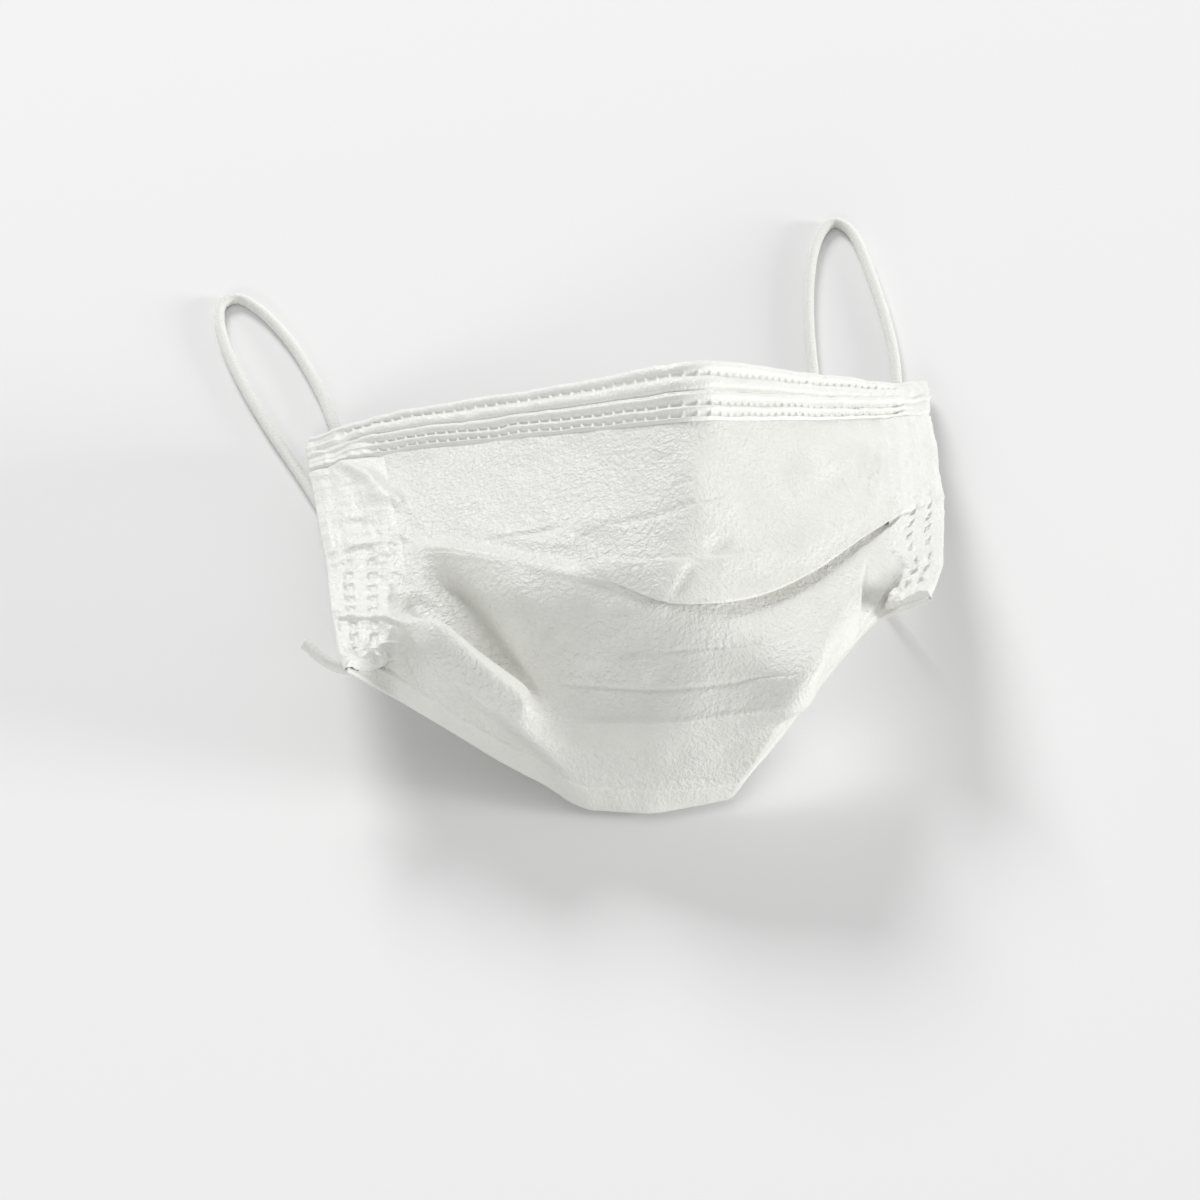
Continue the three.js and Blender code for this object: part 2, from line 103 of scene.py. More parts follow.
# Folds pressed or crumpled into the cloth, as paths over it.
# swell: raised by lift over the width. step: raised below the path, over the width, and dying out over the
# reach. ledge: raised more and more over the width above the path, and dying out over the reach below it.
# path: (station, line) places. ends: share of the path over which it fades out.
CREASES = (
    dict(name="nose_ridge", kind="swell", path=((3, 0.3), (3.05, 0.75)), width=4, lift=0.8, ends=0.4),
    dict(name="top_press", kind="swell", width=0.4, lift=-0.35, ends=0.2,
         path=((2.25, 0.69), (2.74, 0.63), (3.02, 0.59), (3.37, 0.56))),
    dict(name="top_crease", kind="swell", width=0.5, lift=-0.5, ends=0.3,
         path=((1.48, 0.85), (1.83, 0.75), (2.05, 0.71))),
    dict(name="top_crease_swell", kind="swell", width=3, lift=0.5, ends=0.3,
         path=((1.5, 0.8), (1.85, 0.82), (2.2, 0.78))),
    dict(name="top_diagonal", kind="step", width=0.6, reach=5, lift=-0.7, ends=0.3,
         path=((2.27, 0.88), (2.18, 0.8), (2.04, 0.72))),
    dict(name="left_roll", kind="swell", width=4, lift=1.8, ends=0.25,
         path=((0.95, 0.99), (1.4, 0.98), (2.0, 1.0), (2.6, 1.0))),
    dict(name="tongue_edge", kind="step", width=0.5, reach=7, lift=1.7, ends=0.25,
         path=((2.0, 0.95), (2.25, 0.89), (2.57, 0.84), (2.89, 0.82), (3.01, 0.82), (3.06, 0.86))),
    dict(name="nose_foot", kind="swell", width=2.2, lift=-0.8, ends=0.4, path=((3.1, 0.76), (3.45, 0.76))),
    dict(name="nose_foot_edge", kind="step", width=0.4, reach=4, lift=0.9, ends=0.35,
         path=((3.0, 0.8), (3.4, 0.805), (3.92, 0.84))),
    dict(name="right_roll", kind="swell", width=5, lift=1.8, ends=0.3,
         path=((3.5, 0.88), (4.2, 0.85), (4.7, 0.86), (5.1, 0.85))),
    dict(name="right_crest", kind="swell", width=5, lift=1.5, ends=0.3,
         path=((3.9, 0.52), (4.4, 0.48), (4.8, 0.47), (5.2, 0.52))),
    dict(name="strip_swell_right", kind="swell", width=2.5, lift=0.7, ends=0.3,
         path=((5.0, 0.33), (4.95, 0.6), (4.8, 0.9))),
    dict(name="band_valley", kind="swell", width=3.2, lift=-3.2, ends=0.25,
         path=((1.02, 1.12), (1.19, 1.27), (1.32, 1.44), (1.51, 1.7), (1.69, 1.96), (1.86, 2.2),
               (1.96, 2.67))),
    dict(name="side_hollow", kind="swell", width=3.5, lift=-1.2, ends=0.4,
         path=((1.0, 1.9), (1.12, 2.25), (1.27, 2.6))),
    dict(name="band_ridge_left", kind="swell", width=4.5, lift=0.9, ends=0.3,
         path=((1.4, 1.15), (1.75, 1.5), (2.0, 2.3))),
    dict(name="wedge", kind="ledge", width=6, reach=11, lift=5.2, ends=0.25,
         path=((0.9, 3), (1.3, 3), (1.7, 3), (2.15, 3))),
    dict(name="wedge_foot", kind="step", width=0.6, reach=6, lift=-0.7, ends=0.3,
         path=((1.13, 3.3), (1.27, 3.6), (1.45, 3.75), (1.7, 3.75), (1.95, 3.7))),
    dict(name="strip_double", kind="swell", width=0.8, lift=0.45, ends=0.1,
         path=((0.02, 1.02), (0.45, 0.97), (0.93, 0.92))),
    dict(name="strip_line_left", kind="step", width=0.3, reach=4, lift=-0.6, ends=0.1,
         path=((0, 3.02), (0.5, 3.0), (1.0, 3.0))),
    dict(name="fold_2_middle", kind="swell", width=0.6, lift=0.5, ends=0.15,
         path=((1.9, 3), (2.5, 3), (3.2, 3), (3.9, 3))),
    dict(name="glint_left", kind="swell", width=2, lift=0.6, ends=0.3,
         path=((1.63, 1.1), (1.81, 1.23), (2.06, 1.41))),
    dict(name="glint_left_low", kind="swell", width=2, lift=0.7, ends=0.3,
         path=((2.01, 1.49), (2.22, 1.67), (2.45, 1.97))),
    dict(name="glint_middle", kind="swell", width=1.6, lift=0.6, ends=0.3,
         path=((2.56, 1.75), (2.7, 2.13), (2.81, 2.35))),
    dict(name="band_press_low", kind="swell", width=0.3, lift=-0.35, ends=0.2,
         path=((1.99, 2.05), (2.31, 2.2), (2.86, 2.45), (3.39, 2.39), (3.65, 2.26), (4.02, 2.27))),
    dict(name="band_press_high", kind="swell", width=0.3, lift=-0.32, ends=0.25,
         path=((2.62, 1.67), (2.84, 1.8), (3.34, 1.75), (3.63, 1.68), (4.06, 1.57))),
    dict(name="facet", kind="ledge", width=11, reach=9, lift=2.2, ends=0.12,
         path=((4.07, 3.5), (4.06, 2.8), (4.06, 2.3), (4.13, 2.0), (4.27, 1.88), (4.53, 1.88),
               (4.72, 2.15))),
    dict(name="right_crease", kind="swell", width=0.45, lift=-0.4, ends=0.15,
         path=((4.12, 3.6), (4.06, 4.0), (4.0, 4.85))),
    dict(name="chin_press", kind="swell", width=0.35, lift=-0.25, ends=0.2,
         path=((2.35, 4.55), (3.1, 4.32), (3.8, 4.6))),
    dict(name="chin_valley", kind="swell", width=5, lift=-1.6, ends=0.3,
         path=((1.3, 3.9), (1.68, 4.3), (2.0, 4.9))),
    dict(name="chin_left_fold", kind="step", width=0.5, reach=5, lift=1.0, ends=0.3,
         path=((1.2, 4.54), (1.08, 4.1), (1.01, 3.77))),
    dict(name="strip_fold_left", kind="swell", width=1.5, lift=1.1, ends=0.25,
         path=((0.38, 0.24), (0.56, 0.33), (0.78, 0.45), (1.03, 0.7))),
    dict(name="strip_fold_left_low", kind="swell", width=1.2, lift=0.6, ends=0.3,
         path=((0.78, 0.47), (0.89, 0.65), (0.93, 0.93))),
)

# Where the cloth has slipped down the mask: between the stations start and end, about a line and as far as
# the reach from it, in lines, by so many millimetres
SLIPS = (
    dict(name="left_lip", start=1, end=2, line=3, reach=0.4, slip=2.8),
    dict(name="right_lip", start=4.1, end=4.95, line=3, reach=0.4, slip=2.2),
)

UNEVENNESS = ((0.22, 11, 3), (0.1, 4.5, 4))     # waves of handled cloth: height, size and seed
LEAST_HEIGHT = 0.15                 # height over the table of cloth that would pass through it
SLOPE_ACROSS, SLOPE_DOWN = 0.1, 0.2     # stations and lines to either side where directions are taken
CREASE_STEPS = 4                    # straight stretches from one place of a crease's path to the next

# The panel
PANEL_STEPS = (86, 26, 36, 38, 38)  # rows of its mesh from each line to the next
LIP_ROWS, TURN_ROWS = 9, 5          # rows round an open pleat's lip, and round the turn behind it
SHUT_ROW = 0.03                     # distance between those rows where the pleat is shut
TURN_RADIUS = 0.7                   # radius of the turn behind the lip, as a share of the lip's
TUCK_STARTS = 0.03                  # lines below the lip over which the tuck reaches its full depth
SHUT_CREASE = 0.35                  # how softly the cloth turns over a shut pleat
HEM_COVERS = (11.5, 13)             # distance from the nose edge over which the hem ceases to cover it
STRIP_COVERS = (2.05, 2.15)         # stations from the middle over which a strip starts to cover it
COVERED_SINK = 0.25                 # how much deeper the panel lies where it is covered
PRESSED_FROM, PRESSED_TO = (5, 6.5), (12.8, 12)     # where it is pressed in under the hem's lower rows
PRESSED_SINK = 0.85

# Cloth folded round an edge of the panel. turn: its length inside. reach: its length outside. radius: of
# the fold. rows: rows of its mesh inside, round the fold and outside. base: how far the middle of the fold
# lies inside the panel's outside. sink: how deep its outer end goes into the panel, over the length sinks.
# fades: length before that end over which its own relief fades out.
NOSE_HEM = dict(turn=4, reach=13.3, radius=0.6, rows=(8, 9, 74), base=0.1, sink=0.65, sinks=1.2, fades=1)
CHIN_HEM = dict(turn=3, reach=4.7, radius=0.42, rows=(8, 9, 32), base=0.2, sink=0.3, sinks=0.8)
SIDE_STRIP = dict(turn=6, reach=14.2, radius=0.5, rows=(8, 9, 62), base=0.1, sink=0.5, sinks=3, fades=3)
CHIN_PLY = 0.25                     # thickness of the chin hem's layer
CHIN_LEAST_CLOTH = 5.5              # cloth up to the next line, where the lines lie closer than that
SHOWN_FROM = -0.3                   # height in the fold from which the outside's relief sets in

# The nose hem's outside
HEM_LENGTH_LINE = 0.12              # the line along which its slots are spaced
HEM_WAVES = ((0.16, 5, 11), (0.1, 2.2, 12))     # height, size and seed
HEM_CRUMPLE = dict(height=0.35, size=7, seed=13, within=(1.0, 5.0, 0.25))   # outside those stations
# Cloth puffed up between the seams: from, to and height
HEM_PUFFS = ((0, 1.7, 0.25), (3.1, 5.8, 0.4), (6.5, 8.5, 0.45), (9.9, 10.9, 0.2), (12.2, 13, 0.15))
HEM_SLOT = (0.12, 0.88, 0.07)       # start, end and softness of a welded slot, in shares of the pitch
HEM_WELD_PITCH = 2.4
HEM_WELD_HALF, HEM_WELD_SOFT = 0.55, 0.16       # half a row's width, and the softness of its edges
HEM_WELD_SHALLOW = 0.3              # depth between two slots, as a share of theirs
# Each row of welds along it: distance from the edge, depth, and the stations it runs between
HEM_WELD_ROWS = (
    dict(out=2.4, depth=0.42, start=0.6, end=5.3),
    dict(out=9.2, depth=0.55, start=0.85, end=5.35),
    dict(out=11.6, depth=0.55, start=0.85, end=5.35),
)
HEM_WELD_ENDS = 0.1                 # softness of a row's ends, in stations
# Lines sunk into it, over the wire and along the right stretch of the two lower rows: distance from the
# edge, depth, width, and the stations each runs between with the softness of its ends
WIRE_RUN = (0.62, 4.72, 0.05)
ROW_ENDS_RUN = (4.3, 5.35, 0.25)
HEM_LINES = (
    dict(out=9.2, depth=0.5, width=0.7, runs=(ROW_ENDS_RUN,)),
    dict(out=11.6, depth=0.5, width=0.7, runs=(ROW_ENDS_RUN,)),
    dict(out=6.1, depth=0.7, width=0.28, runs=(WIRE_RUN,)),
    dict(out=7.2, depth=0.2, width=0.25, runs=(WIRE_RUN, (0.8, 3.2, 0.3))),
)

# The side strips
STRIP_TOP = 0.235                   # the line where both start
# The lines where the left one and the right one end, at the mask's edge and at their inner edge
STRIP_FEET = {-1: (4.98, 3.95), 1: (4.95, 4.7)}
STRIP_STATION = 0.4                 # stations from the edge to where a strip's length is measured
LENGTH_PLACES = 501                 # places at which it is measured
STRIP_TOP_SINKS, STRIP_TOP_SINK = (2.6, 1.5), 0.8       # lengths over which the top goes in, and how deep
STRIP_FOOT_SINKS, STRIP_FOOT_SINK = (0.7, 0), 0.9       # the same for the foot
STRIP_WELD_COLUMNS = ((3.9, 0.42), (8.6, 0.42), (13, 0.21))     # distance from the edge, and depth
STRIP_WELD_PITCH = 4.5
STRIP_WELD_HALF, STRIP_WELD_SOFT = 0.85, 0.3    # half a column's width, and the softness of its edges
STRIP_DOT = (0.22, 0.72, 0.1)       # start, end and softness of a dot, in shares of the pitch
STRIP_FAINT, STRIP_DEEPENS = 0.08, (31, 37)     # share of the depth near the top, and where it becomes whole
STRIP_PUFF = 0.15                   # height of the cloth between two columns
STRIP_FLAP = 4.2                    # length of the turned end at their foot
STRIP_FLAP_LIFT, STRIP_FLAP_CRINKLE = 0.55, 0.3     # its height, and that of its crinkles

# Where the ear loops' ends are welded inside the corners: the station, and the lines where each starts and
# ends
WELD_REACH = 0.22                   # half the width, in stations
WELD_DEPTH = 3.1
WELD_RIM = 0.25                     # depth at the rim, as a share of the whole
WELD_BELOW = 0.35                   # how far its top lies inside the panel's outside
WELD_PLACES = 25                    # rows and columns of its mesh
WELDS = (
    dict(name="weld_top_left", across=0.5, start=0.31, end=0.42),
    dict(name="weld_top_right", across=5.5, start=0.31, end=0.42),
    dict(name="weld_bottom_left", across=0.5, start=3.1, end=3.5),
    dict(name="weld_bottom_right", across=5.5, start=3.1, end=3.5),
)

# The nose wire, between the hem's cloth and the panel
WIRE_FROM, WIRE_TO = 5.75, 8.5      # distances of its two edges from the nose edge
WIRE_STATIONS = (0.5, 4.86)
WIRE_THICKNESS = 0.35
WIRE_ROWS, WIRE_COLUMNS = 9, 201
WIRE_BELOW = 0.25                   # how far its top lies inside the panel's unpressed outside

# The ear loops. Their ends lie in the welds.
CORD_SIDES = 20
CORD_STEP = 0.35                    # distance between rings of the mesh
ROUTE_STEPS = 40                    # steps between two places of a route, from which lengths are measured
CORD_LOOP = 1.1                     # length of a knitted loop
CORD_RELIEF = 0.07                  # height of the loops, as a share of the radius
CORD_LOWEST = 0.02                  # least height over the table
CORD_ROUTES = {
    "loop_tail_left": (
        (-52.4, -29.5, 19.2), (-55.2, -31.7, 19.6), (-58.4, -30.5, 20.3), (-62, -26.4, 21.2),
    ),
    "ear_loop_left": (
        (-50.2, 32.7, 7.6), (-50.4, 37.9, 4.6), (-50.9, 43.9, 2), (-51.7, 49.9, 1.1), (-52.6, 56.4, 1.1),
        (-53.8, 62.9, 1.1), (-55.6, 69.9, 1.1), (-57.9, 77.4, 1.1), (-60.8, 84.4, 1.1), (-64.3, 90.7, 1.1),
        (-68, 94.5, 1.1), (-71.2, 93.1, 1.1), (-72, 88.4, 1.1), (-71.5, 82.4, 1.1), (-70.1, 74.9, 1.1),
        (-67.7, 65.7, 1.1), (-65.4, 58.4, 1.1), (-63.2, 51.9, 1.1), (-60.8, 45.4, 1.1), (-58, 37.4, 1.1),
        (-55, 27.9, 1.1), (-52.3, 16.9, 1.1), (-50.3, 5.9, 1.1), (-49.2, -4.1, 1.4), (-48.8, -10.6, 4),
        (-48.8, -15.1, 8.8), (-49.1, -19.1, 14.4), (-49.6, -23.3, 19.2),
    ),
    "ear_loop_right": (
        (50.2, 35.7, 7.2), (50.9, 40.9, 4.2), (51.9, 46.9, 1.8), (52.9, 52.4, 1.1), (53.7, 58.9, 1.1),
        (54.2, 66.4, 1.1), (54.1, 76.9, 1.1), (53.5, 86.9, 1.1), (52.6, 96.9, 1.1), (51.2, 103.5, 1.1),
        (48.4, 106.1, 1.1), (45.3, 102.5, 1.1), (42.7, 94.9, 1.1), (40.7, 84.9, 1.1), (39.3, 73.9, 1.1),
        (38.3, 60.9, 1.1), (37.6, 49.9, 1.1), (37.4, 38.9, 1.1), (37.8, 26.9, 1.1), (38.9, 14.9, 1.1),
        (40.4, 4.4, 1.25), (41.9, -4.6, 2.6), (42.9, -9.6, 6.4), (43.6, -13.6, 11.6), (44, -16.5, 15.6),
        (44.15, -17.9, 17.6),
    ),
}

# Camera and stage, in millimetres, metres and watts
CAMERA_AIM = (-2.35, -53.8, 1.3)    # a place near the middle of the chin edge
CAMERA_ASIDE, CAMERA_OVER, CAMERA_BACK = -11.7, 36.3, 850   # moves from it to the camera's right, up and back
CAMERA_LENS, CAMERA_SENSOR = 149.7, 36
TABLE_REACH = 6                     # metres from its middle to its edges
WORLD_STRENGTH = 0.51
# Soft lights aimed at the mask: name, place in metres, diameter in metres and power in watts
LIGHTS = (
    ("key", (6.0, -1.6, 1.15), 2.0, 252),
    ("back", (-0.8, 3.0, 1.9), 1.4, 84),
    ("fill", (-1.5, -4.5, 2.0), 1.2, 46),
)

# --------------------------------------------------------------------------------------------------
# The mask's surface
# --------------------------------------------------------------------------------------------------

LINE_POINTS = np.array([np.stack([line["x"], line["y"], line["z"]], axis=-1) for line in LINES], float) * MM
LINE_POINTS += np.array(LYING_AT) * MM
BEND = np.array([[line.get("right_bend", line["bend"]) if station == RIGHT_CORNER else line["bend"]
                  for station in range(len(line["x"]))] for line in LINES])
CREASE_OF_LINE = np.array([line["crease"] for line in LINES])
LAST_LINE = len(LINES) - 1
LAST_STATION = len(LINES[0]["x"]) - 1
STATIONS = np.arange(LAST_STATION + 1)

# Cloth between neighbouring lines at each station, and lengths of flat cloth to each station and each line
LINE_GAPS = np.linalg.norm(np.diff(LINE_POINTS, axis=0), axis=2)
STATION_GAPS = np.linalg.norm(np.diff(LINE_POINTS, axis=1), axis=2)
FLAT_ACROSS = np.concatenate([[0], np.cumsum(STATION_GAPS.mean(axis=0))])
FLAT_DOWN = np.concatenate([[0], np.cumsum(LINE_GAPS[:, 2:5].mean(axis=1))])


def smooth_step(low, high, value):
    """0 below low and 1 above high, with 3t^2 - 2t^3 between."""
    share = np.clip((value - low) / (high - low), 0, 1)
    return share * share * (3 - 2 * share)


def window(low, high, soft, value):
    """1 between low and high and 0 outside them, turning over twice soft at each."""
    return smooth_step(low - soft, low + soft, value) * (1 - smooth_step(high - soft, high + soft, value))


def bell(distance, width):
    """exp(-(distance / width)^2)."""
    return np.exp(-((distance / width) ** 2))


def soft_noise(x, y, size, seed):
    """Smooth seeded values from -1 to 1 over a plane, with one drawn for each knot of a square net and
    3t^2 - 2t^3 between them. The size is the net's, in the units of the plane."""
    knots = np.random.default_rng(seed).uniform(-1, 1, (64, 64))
    x, y = np.broadcast_arrays(x / size, y / size)
    column, row = np.floor(x).astype(int), np.floor(y).astype(int)
    right, below = smooth_step(0, 1, x - column), smooth_step(0, 1, y - row)

    def knot(aside, under):
        return knots[(row + under) % 64, (column + aside) % 64]

    upper = knot(0, 0) * (1 - right) + knot(1, 0) * right
    lower = knot(0, 1) * (1 - right) + knot(1, 1) * right
    return upper * (1 - below) + lower * below


def crinkle(x, y, size, seed):
    """Sharp-crested folds: 1 - 2|noise| of one size and half as much of a finer one."""
    coarse, fine = soft_noise(x, y, size, seed), soft_noise(y, x, size / 2.3, seed + 1)
    return (1 - 2 * np.abs(coarse)) + 0.5 * (1 - 2 * np.abs(fine))


def waves(x, y, layers):
    """Sum of height x noise over layers of (height, size, seed)."""
    return sum(height * soft_noise(x, y, size, seed) for height, size, seed in layers)


def unit(vectors):
    """Vectors divided by their lengths."""
    return vectors / np.linalg.norm(vectors, axis=-1, keepdims=True)


def lengths_to(points):
    """Lengths along a row of points from the first one to each."""
    return np.concatenate([[0], np.cumsum(np.linalg.norm(np.diff(points, axis=0), axis=1))])


def rounded(points, place, softness):
    """Places along a row of points: straight between neighbours, and near an inner point that straight
    place plus the kink there (before - 2 x point + after) times (softness - distance)^2 / (4 x softness)."""
    last = len(points) - 1
    first = np.clip(np.floor(place).astype(int), 0, last - 1)
    near = np.clip(np.rint(place).astype(int), 1, last - 1)
    share = (place - first)[..., None]

    def pick(index):
        return np.take_along_axis(points, index[None, ..., None], axis=0)[0]

    straight = pick(first) * (1 - share) + pick(first + 1) * share
    reach = np.clip(softness - np.abs(place - near), 0, None)
    kink = pick(near - 1) - 2 * pick(near) + pick(near + 1)
    return straight + kink * (reach**2 / (4 * softness))[..., None]


def along_row(values, across, softness):
    """A row of points or numbers at the stations, rounded by their softness at the stations across."""
    values = np.asarray(values, float)
    softness = np.broadcast_to(softness, len(values))[np.rint(across).astype(int)]
    depth = values.shape[1:] or (1,)
    row = values.reshape((-1,) + (1,) * across.ndim + depth)
    found = rounded(np.broadcast_to(row, values.shape[:1] + across.shape + depth), across, softness)
    return found if values.ndim > 1 else found[..., 0]


def of_line(line, key, across):
    """A line's tuck, lip or overlap at the stations across, in metres."""
    return along_row(line[key], across, ROW_SOFTNESS) * MM


def cloth_below(number, across):
    """Millimetres of cloth from a line to the next one below it, at the stations across."""
    return along_row(LINE_GAPS[number], across, LINES[number]["bend"]) / MM


def opened(line, across):
    """1 where the line's pleat is open and 0 where it is shut."""
    return smooth_step(*line["opens"], across) if "opens" in line else np.ones_like(across)


def line_softness(across, down):
    """How softly the cloth turns over the nearest line: its crease, or the shut crease where its pleat is
    shut."""
    nearest = np.clip(np.rint(down).astype(int), 0, LAST_LINE)
    softness = CREASE_OF_LINE[nearest]
    for number, line in enumerate(LINES):
        change = (SHUT_CREASE - line["crease"]) * (1 - opened(line, across))
        softness = np.where(nearest == number, softness + change, softness)
    return softness


def plain_place(across, down):
    """The surface without its creases: each line's place at the station, rounded down over the lines."""
    across, down = np.broadcast_arrays(across, down)
    rows = np.stack([along_row(points, across, bend) for points, bend in zip(LINE_POINTS, BEND)])
    return rounded(rows, down, line_softness(across, down))


def directions(across, down):
    """The directions out of the mask, up towards its nose edge and aside to its right. The outward one is
    (below - above) x (right - left), over a stretch wide enough to turn slowly."""
    aside = plain_place(across + SLOPE_ACROSS, down) - plain_place(across - SLOPE_ACROSS, down)
    below = plain_place(across, down + SLOPE_DOWN) - plain_place(across, down - SLOPE_DOWN)
    out = unit(np.cross(below, aside))
    up = unit((out * below).sum(-1, keepdims=True) * out - below)
    return out, up, unit(aside - (aside * out).sum(-1, keepdims=True) * out)


def on_mask(across, down, lift, up=0.0, aside=0.0):
    """A place of the mask moved off its outside by lift, towards its nose edge by up and to its right by
    aside. What would pass through the table lies on it."""
    across, down, lift, up, aside = np.broadcast_arrays(across, down, lift, up, aside)
    outwards, upwards, sideways = directions(across, down)
    up = up - slip(across, down)
    place = plain_place(across, down)
    place = place + outwards * lift[..., None] + upwards * up[..., None] + sideways * aside[..., None]
    place[..., 2] = np.maximum(place[..., 2], LEAST_HEIGHT * MM)
    return place


def flat_place(across, down):
    """Where a place of the mask lies on the flat cloth, right of and below its top left corner."""
    return np.interp(across, STATIONS, FLAT_ACROSS), np.interp(down, np.arange(LAST_LINE + 1), FLAT_DOWN)


def through(knots, steps):
    """Points on a smooth curve through the knots: on each stretch, the cubic whose slope at a knot is half
    the step between the knot's neighbours."""
    ends = np.concatenate([[2 * knots[0] - knots[1]], knots, [2 * knots[-1] - knots[-2]]])
    share = np.linspace(0, 1, steps, endpoint=False)[None, :, None]
    a, b, c, d = (ends[i:len(ends) - 3 + i, None] for i in range(4))
    bent = 2 * a - 5 * b + 4 * c - d + share * (3 * (b - c) + d - a)
    curve = b + 0.5 * share * (c - a + share * bent)
    return np.concatenate([curve.reshape(-1, knots.shape[1]), knots[-1:]])


def beside_path(path, right, below):
    """Distance of each flat place from a path, counted as more than 0 below it, and its share of the way
    along."""
    knots = through(np.stack(flat_place(*np.array(path, float).T), axis=-1), CREASE_STEPS)
    lengths = np.linalg.norm(np.diff(knots, axis=0), axis=1)
    starts = lengths_to(knots)
    best, signed, share = (np.full(right.shape, value) for value in (np.inf, np.inf, 0.0))
    for start, end, length, before in zip(knots[:-1], knots[1:], lengths, starts):
        ahead = (end - start) / length
        aside, under = right - start[0], below - start[1]
        gone = np.clip(aside * ahead[0] + under * ahead[1], 0, length)
        distance = np.hypot(aside - gone * ahead[0], under - gone * ahead[1])
        side = np.where(under * ahead[0] - aside * ahead[1] < 0, -1, 1)
        nearer = distance < best
        best = np.where(nearer, distance, best)
        signed = np.where(nearer, side * distance, signed)
        share = np.where(nearer, (before + gone) / starts[-1], share)
    return signed, share


def crease_lift(across, down):
    """Sum of the creases: a swell is lift x exp(-(distance / width)^2). A step rises to lift over twice its
    width, and a ledge as (1 - distance / width)^1.5 up to its path. Both die out below it as
    exp(-(distance / reach)^2)."""
    right, below = np.broadcast_arrays(*flat_place(across, down))
    lift = np.zeros(right.shape)
    for crease in CREASES:
        distance, share = beside_path(crease["path"], right, below)
        distance = distance / MM
        fade = smooth_step(0, crease["ends"], share) * smooth_step(0, crease["ends"], 1 - share)
        if crease["kind"] == "swell":
            shape = bell(distance, crease["width"])
        elif crease["kind"] == "ledge":
            shape = np.clip(1 + distance / crease["width"], 0, 1) ** 1.5
            shape = shape * bell(np.maximum(distance, 0), crease["reach"])
        else:
            shape = smooth_step(-crease["width"], crease["width"], distance)
            shape = shape * bell(np.maximum(distance, 0), crease["reach"])
        lift += crease["lift"] * MM * fade * shape
    return lift


def tuck_depth(across, down):
    """How far the cloth lies in below a lip: the line's tuck x (1 - share of the way to the next one)^4."""
    across, down = np.broadcast_arrays(across, down)
    depth = np.zeros(across.shape)
    for number, line in enumerate(LINES):
        if "tuck" in line:
            past = down - number
            tuck = of_line(line, "tuck", across) * (1 - past) ** 4 * smooth_step(0, TUCK_STARTS, past)
            depth = np.where((past > 0) & (past < 1), tuck, depth)
    return depth


def slip(across, down):
    """How far the cloth has slipped down the mask: for each slip, its length x sin^2 of the way between its
    stations x exp(-(lines away / reach)^2)."""
    across, down = np.broadcast_arrays(across, down)
    moved = np.zeros(across.shape)
    for each in SLIPS:
        share = np.clip((across - each["start"]) / (each["end"] - each["start"]), 0, 1)
        nearness = bell(down - each["line"], each["reach"])
        moved += each["slip"] * MM * np.sin(math.pi * share) ** 2 * nearness
    return moved


def relief(across, down):
    """Lift of the panel's outside from its plain surface: creases and unevenness, less the tuck."""
    right, below = flat_place(across, down)
    uneven = waves(right / MM, below / MM, UNEVENNESS) * MM
    return crease_lift(across, down) + uneven - tuck_depth(across, down)


def even_stations(count):
    """Stations spaced evenly along the cloth."""
    return np.interp(np.linspace(0, FLAT_ACROSS[-1], count), FLAT_ACROSS, STATIONS)


def odd(count):
    """The count, or the next one when it is even."""
    return count + 1 - count % 2


# --------------------------------------------------------------------------------------------------
# Meshes
# --------------------------------------------------------------------------------------------------

def link(name, data):
    """A new object of the data, in the scene."""
    made = bpy.data.objects.new(name, data)
    bpy.context.scene.collection.objects.link(made)
    return made


def make_piece(name, points, quads, material, triangles=(), uv=None):
    """A smooth mesh object of quads and triangles, with its place in its mesh."""
    quads, triangles = np.reshape(quads, (-1, 4)), np.reshape(triangles, (-1, 3))
    corners = np.concatenate([quads.ravel(), triangles.ravel()]).astype(np.int32)
    starts = np.concatenate([4 * np.arange(len(quads)), quads.size + 3 * np.arange(len(triangles))])
    mesh = bpy.data.meshes.new(name)
    mesh.vertices.add(len(points))
    mesh.vertices.foreach_set("co", np.ascontiguousarray(points, np.float32).ravel())
    mesh.loops.add(len(corners))
    mesh.loops.foreach_set("vertex_index", corners)
    mesh.polygons.add(len(starts))
    mesh.polygons.foreach_set("loop_start", starts.astype(np.int32))
    mesh.polygons.foreach_set("use_smooth", np.ones(len(starts), bool))
    mesh.update(calc_edges=True)
    if uv is not None:
        mesh.uv_layers.new(name="cloth").data.foreach_set("uv", uv[corners].astype(np.float32).ravel())
    mesh.materials.append(material)
    return link(name, mesh)


def grid_quads(index):
    """Quads over a grid of vertex numbers, facing the side from which rows go down and columns go right."""
    return np.stack([index[:-1, :-1], index[1:, :-1], index[1:, 1:], index[:-1, 1:]], axis=-1).reshape(-1, 4)


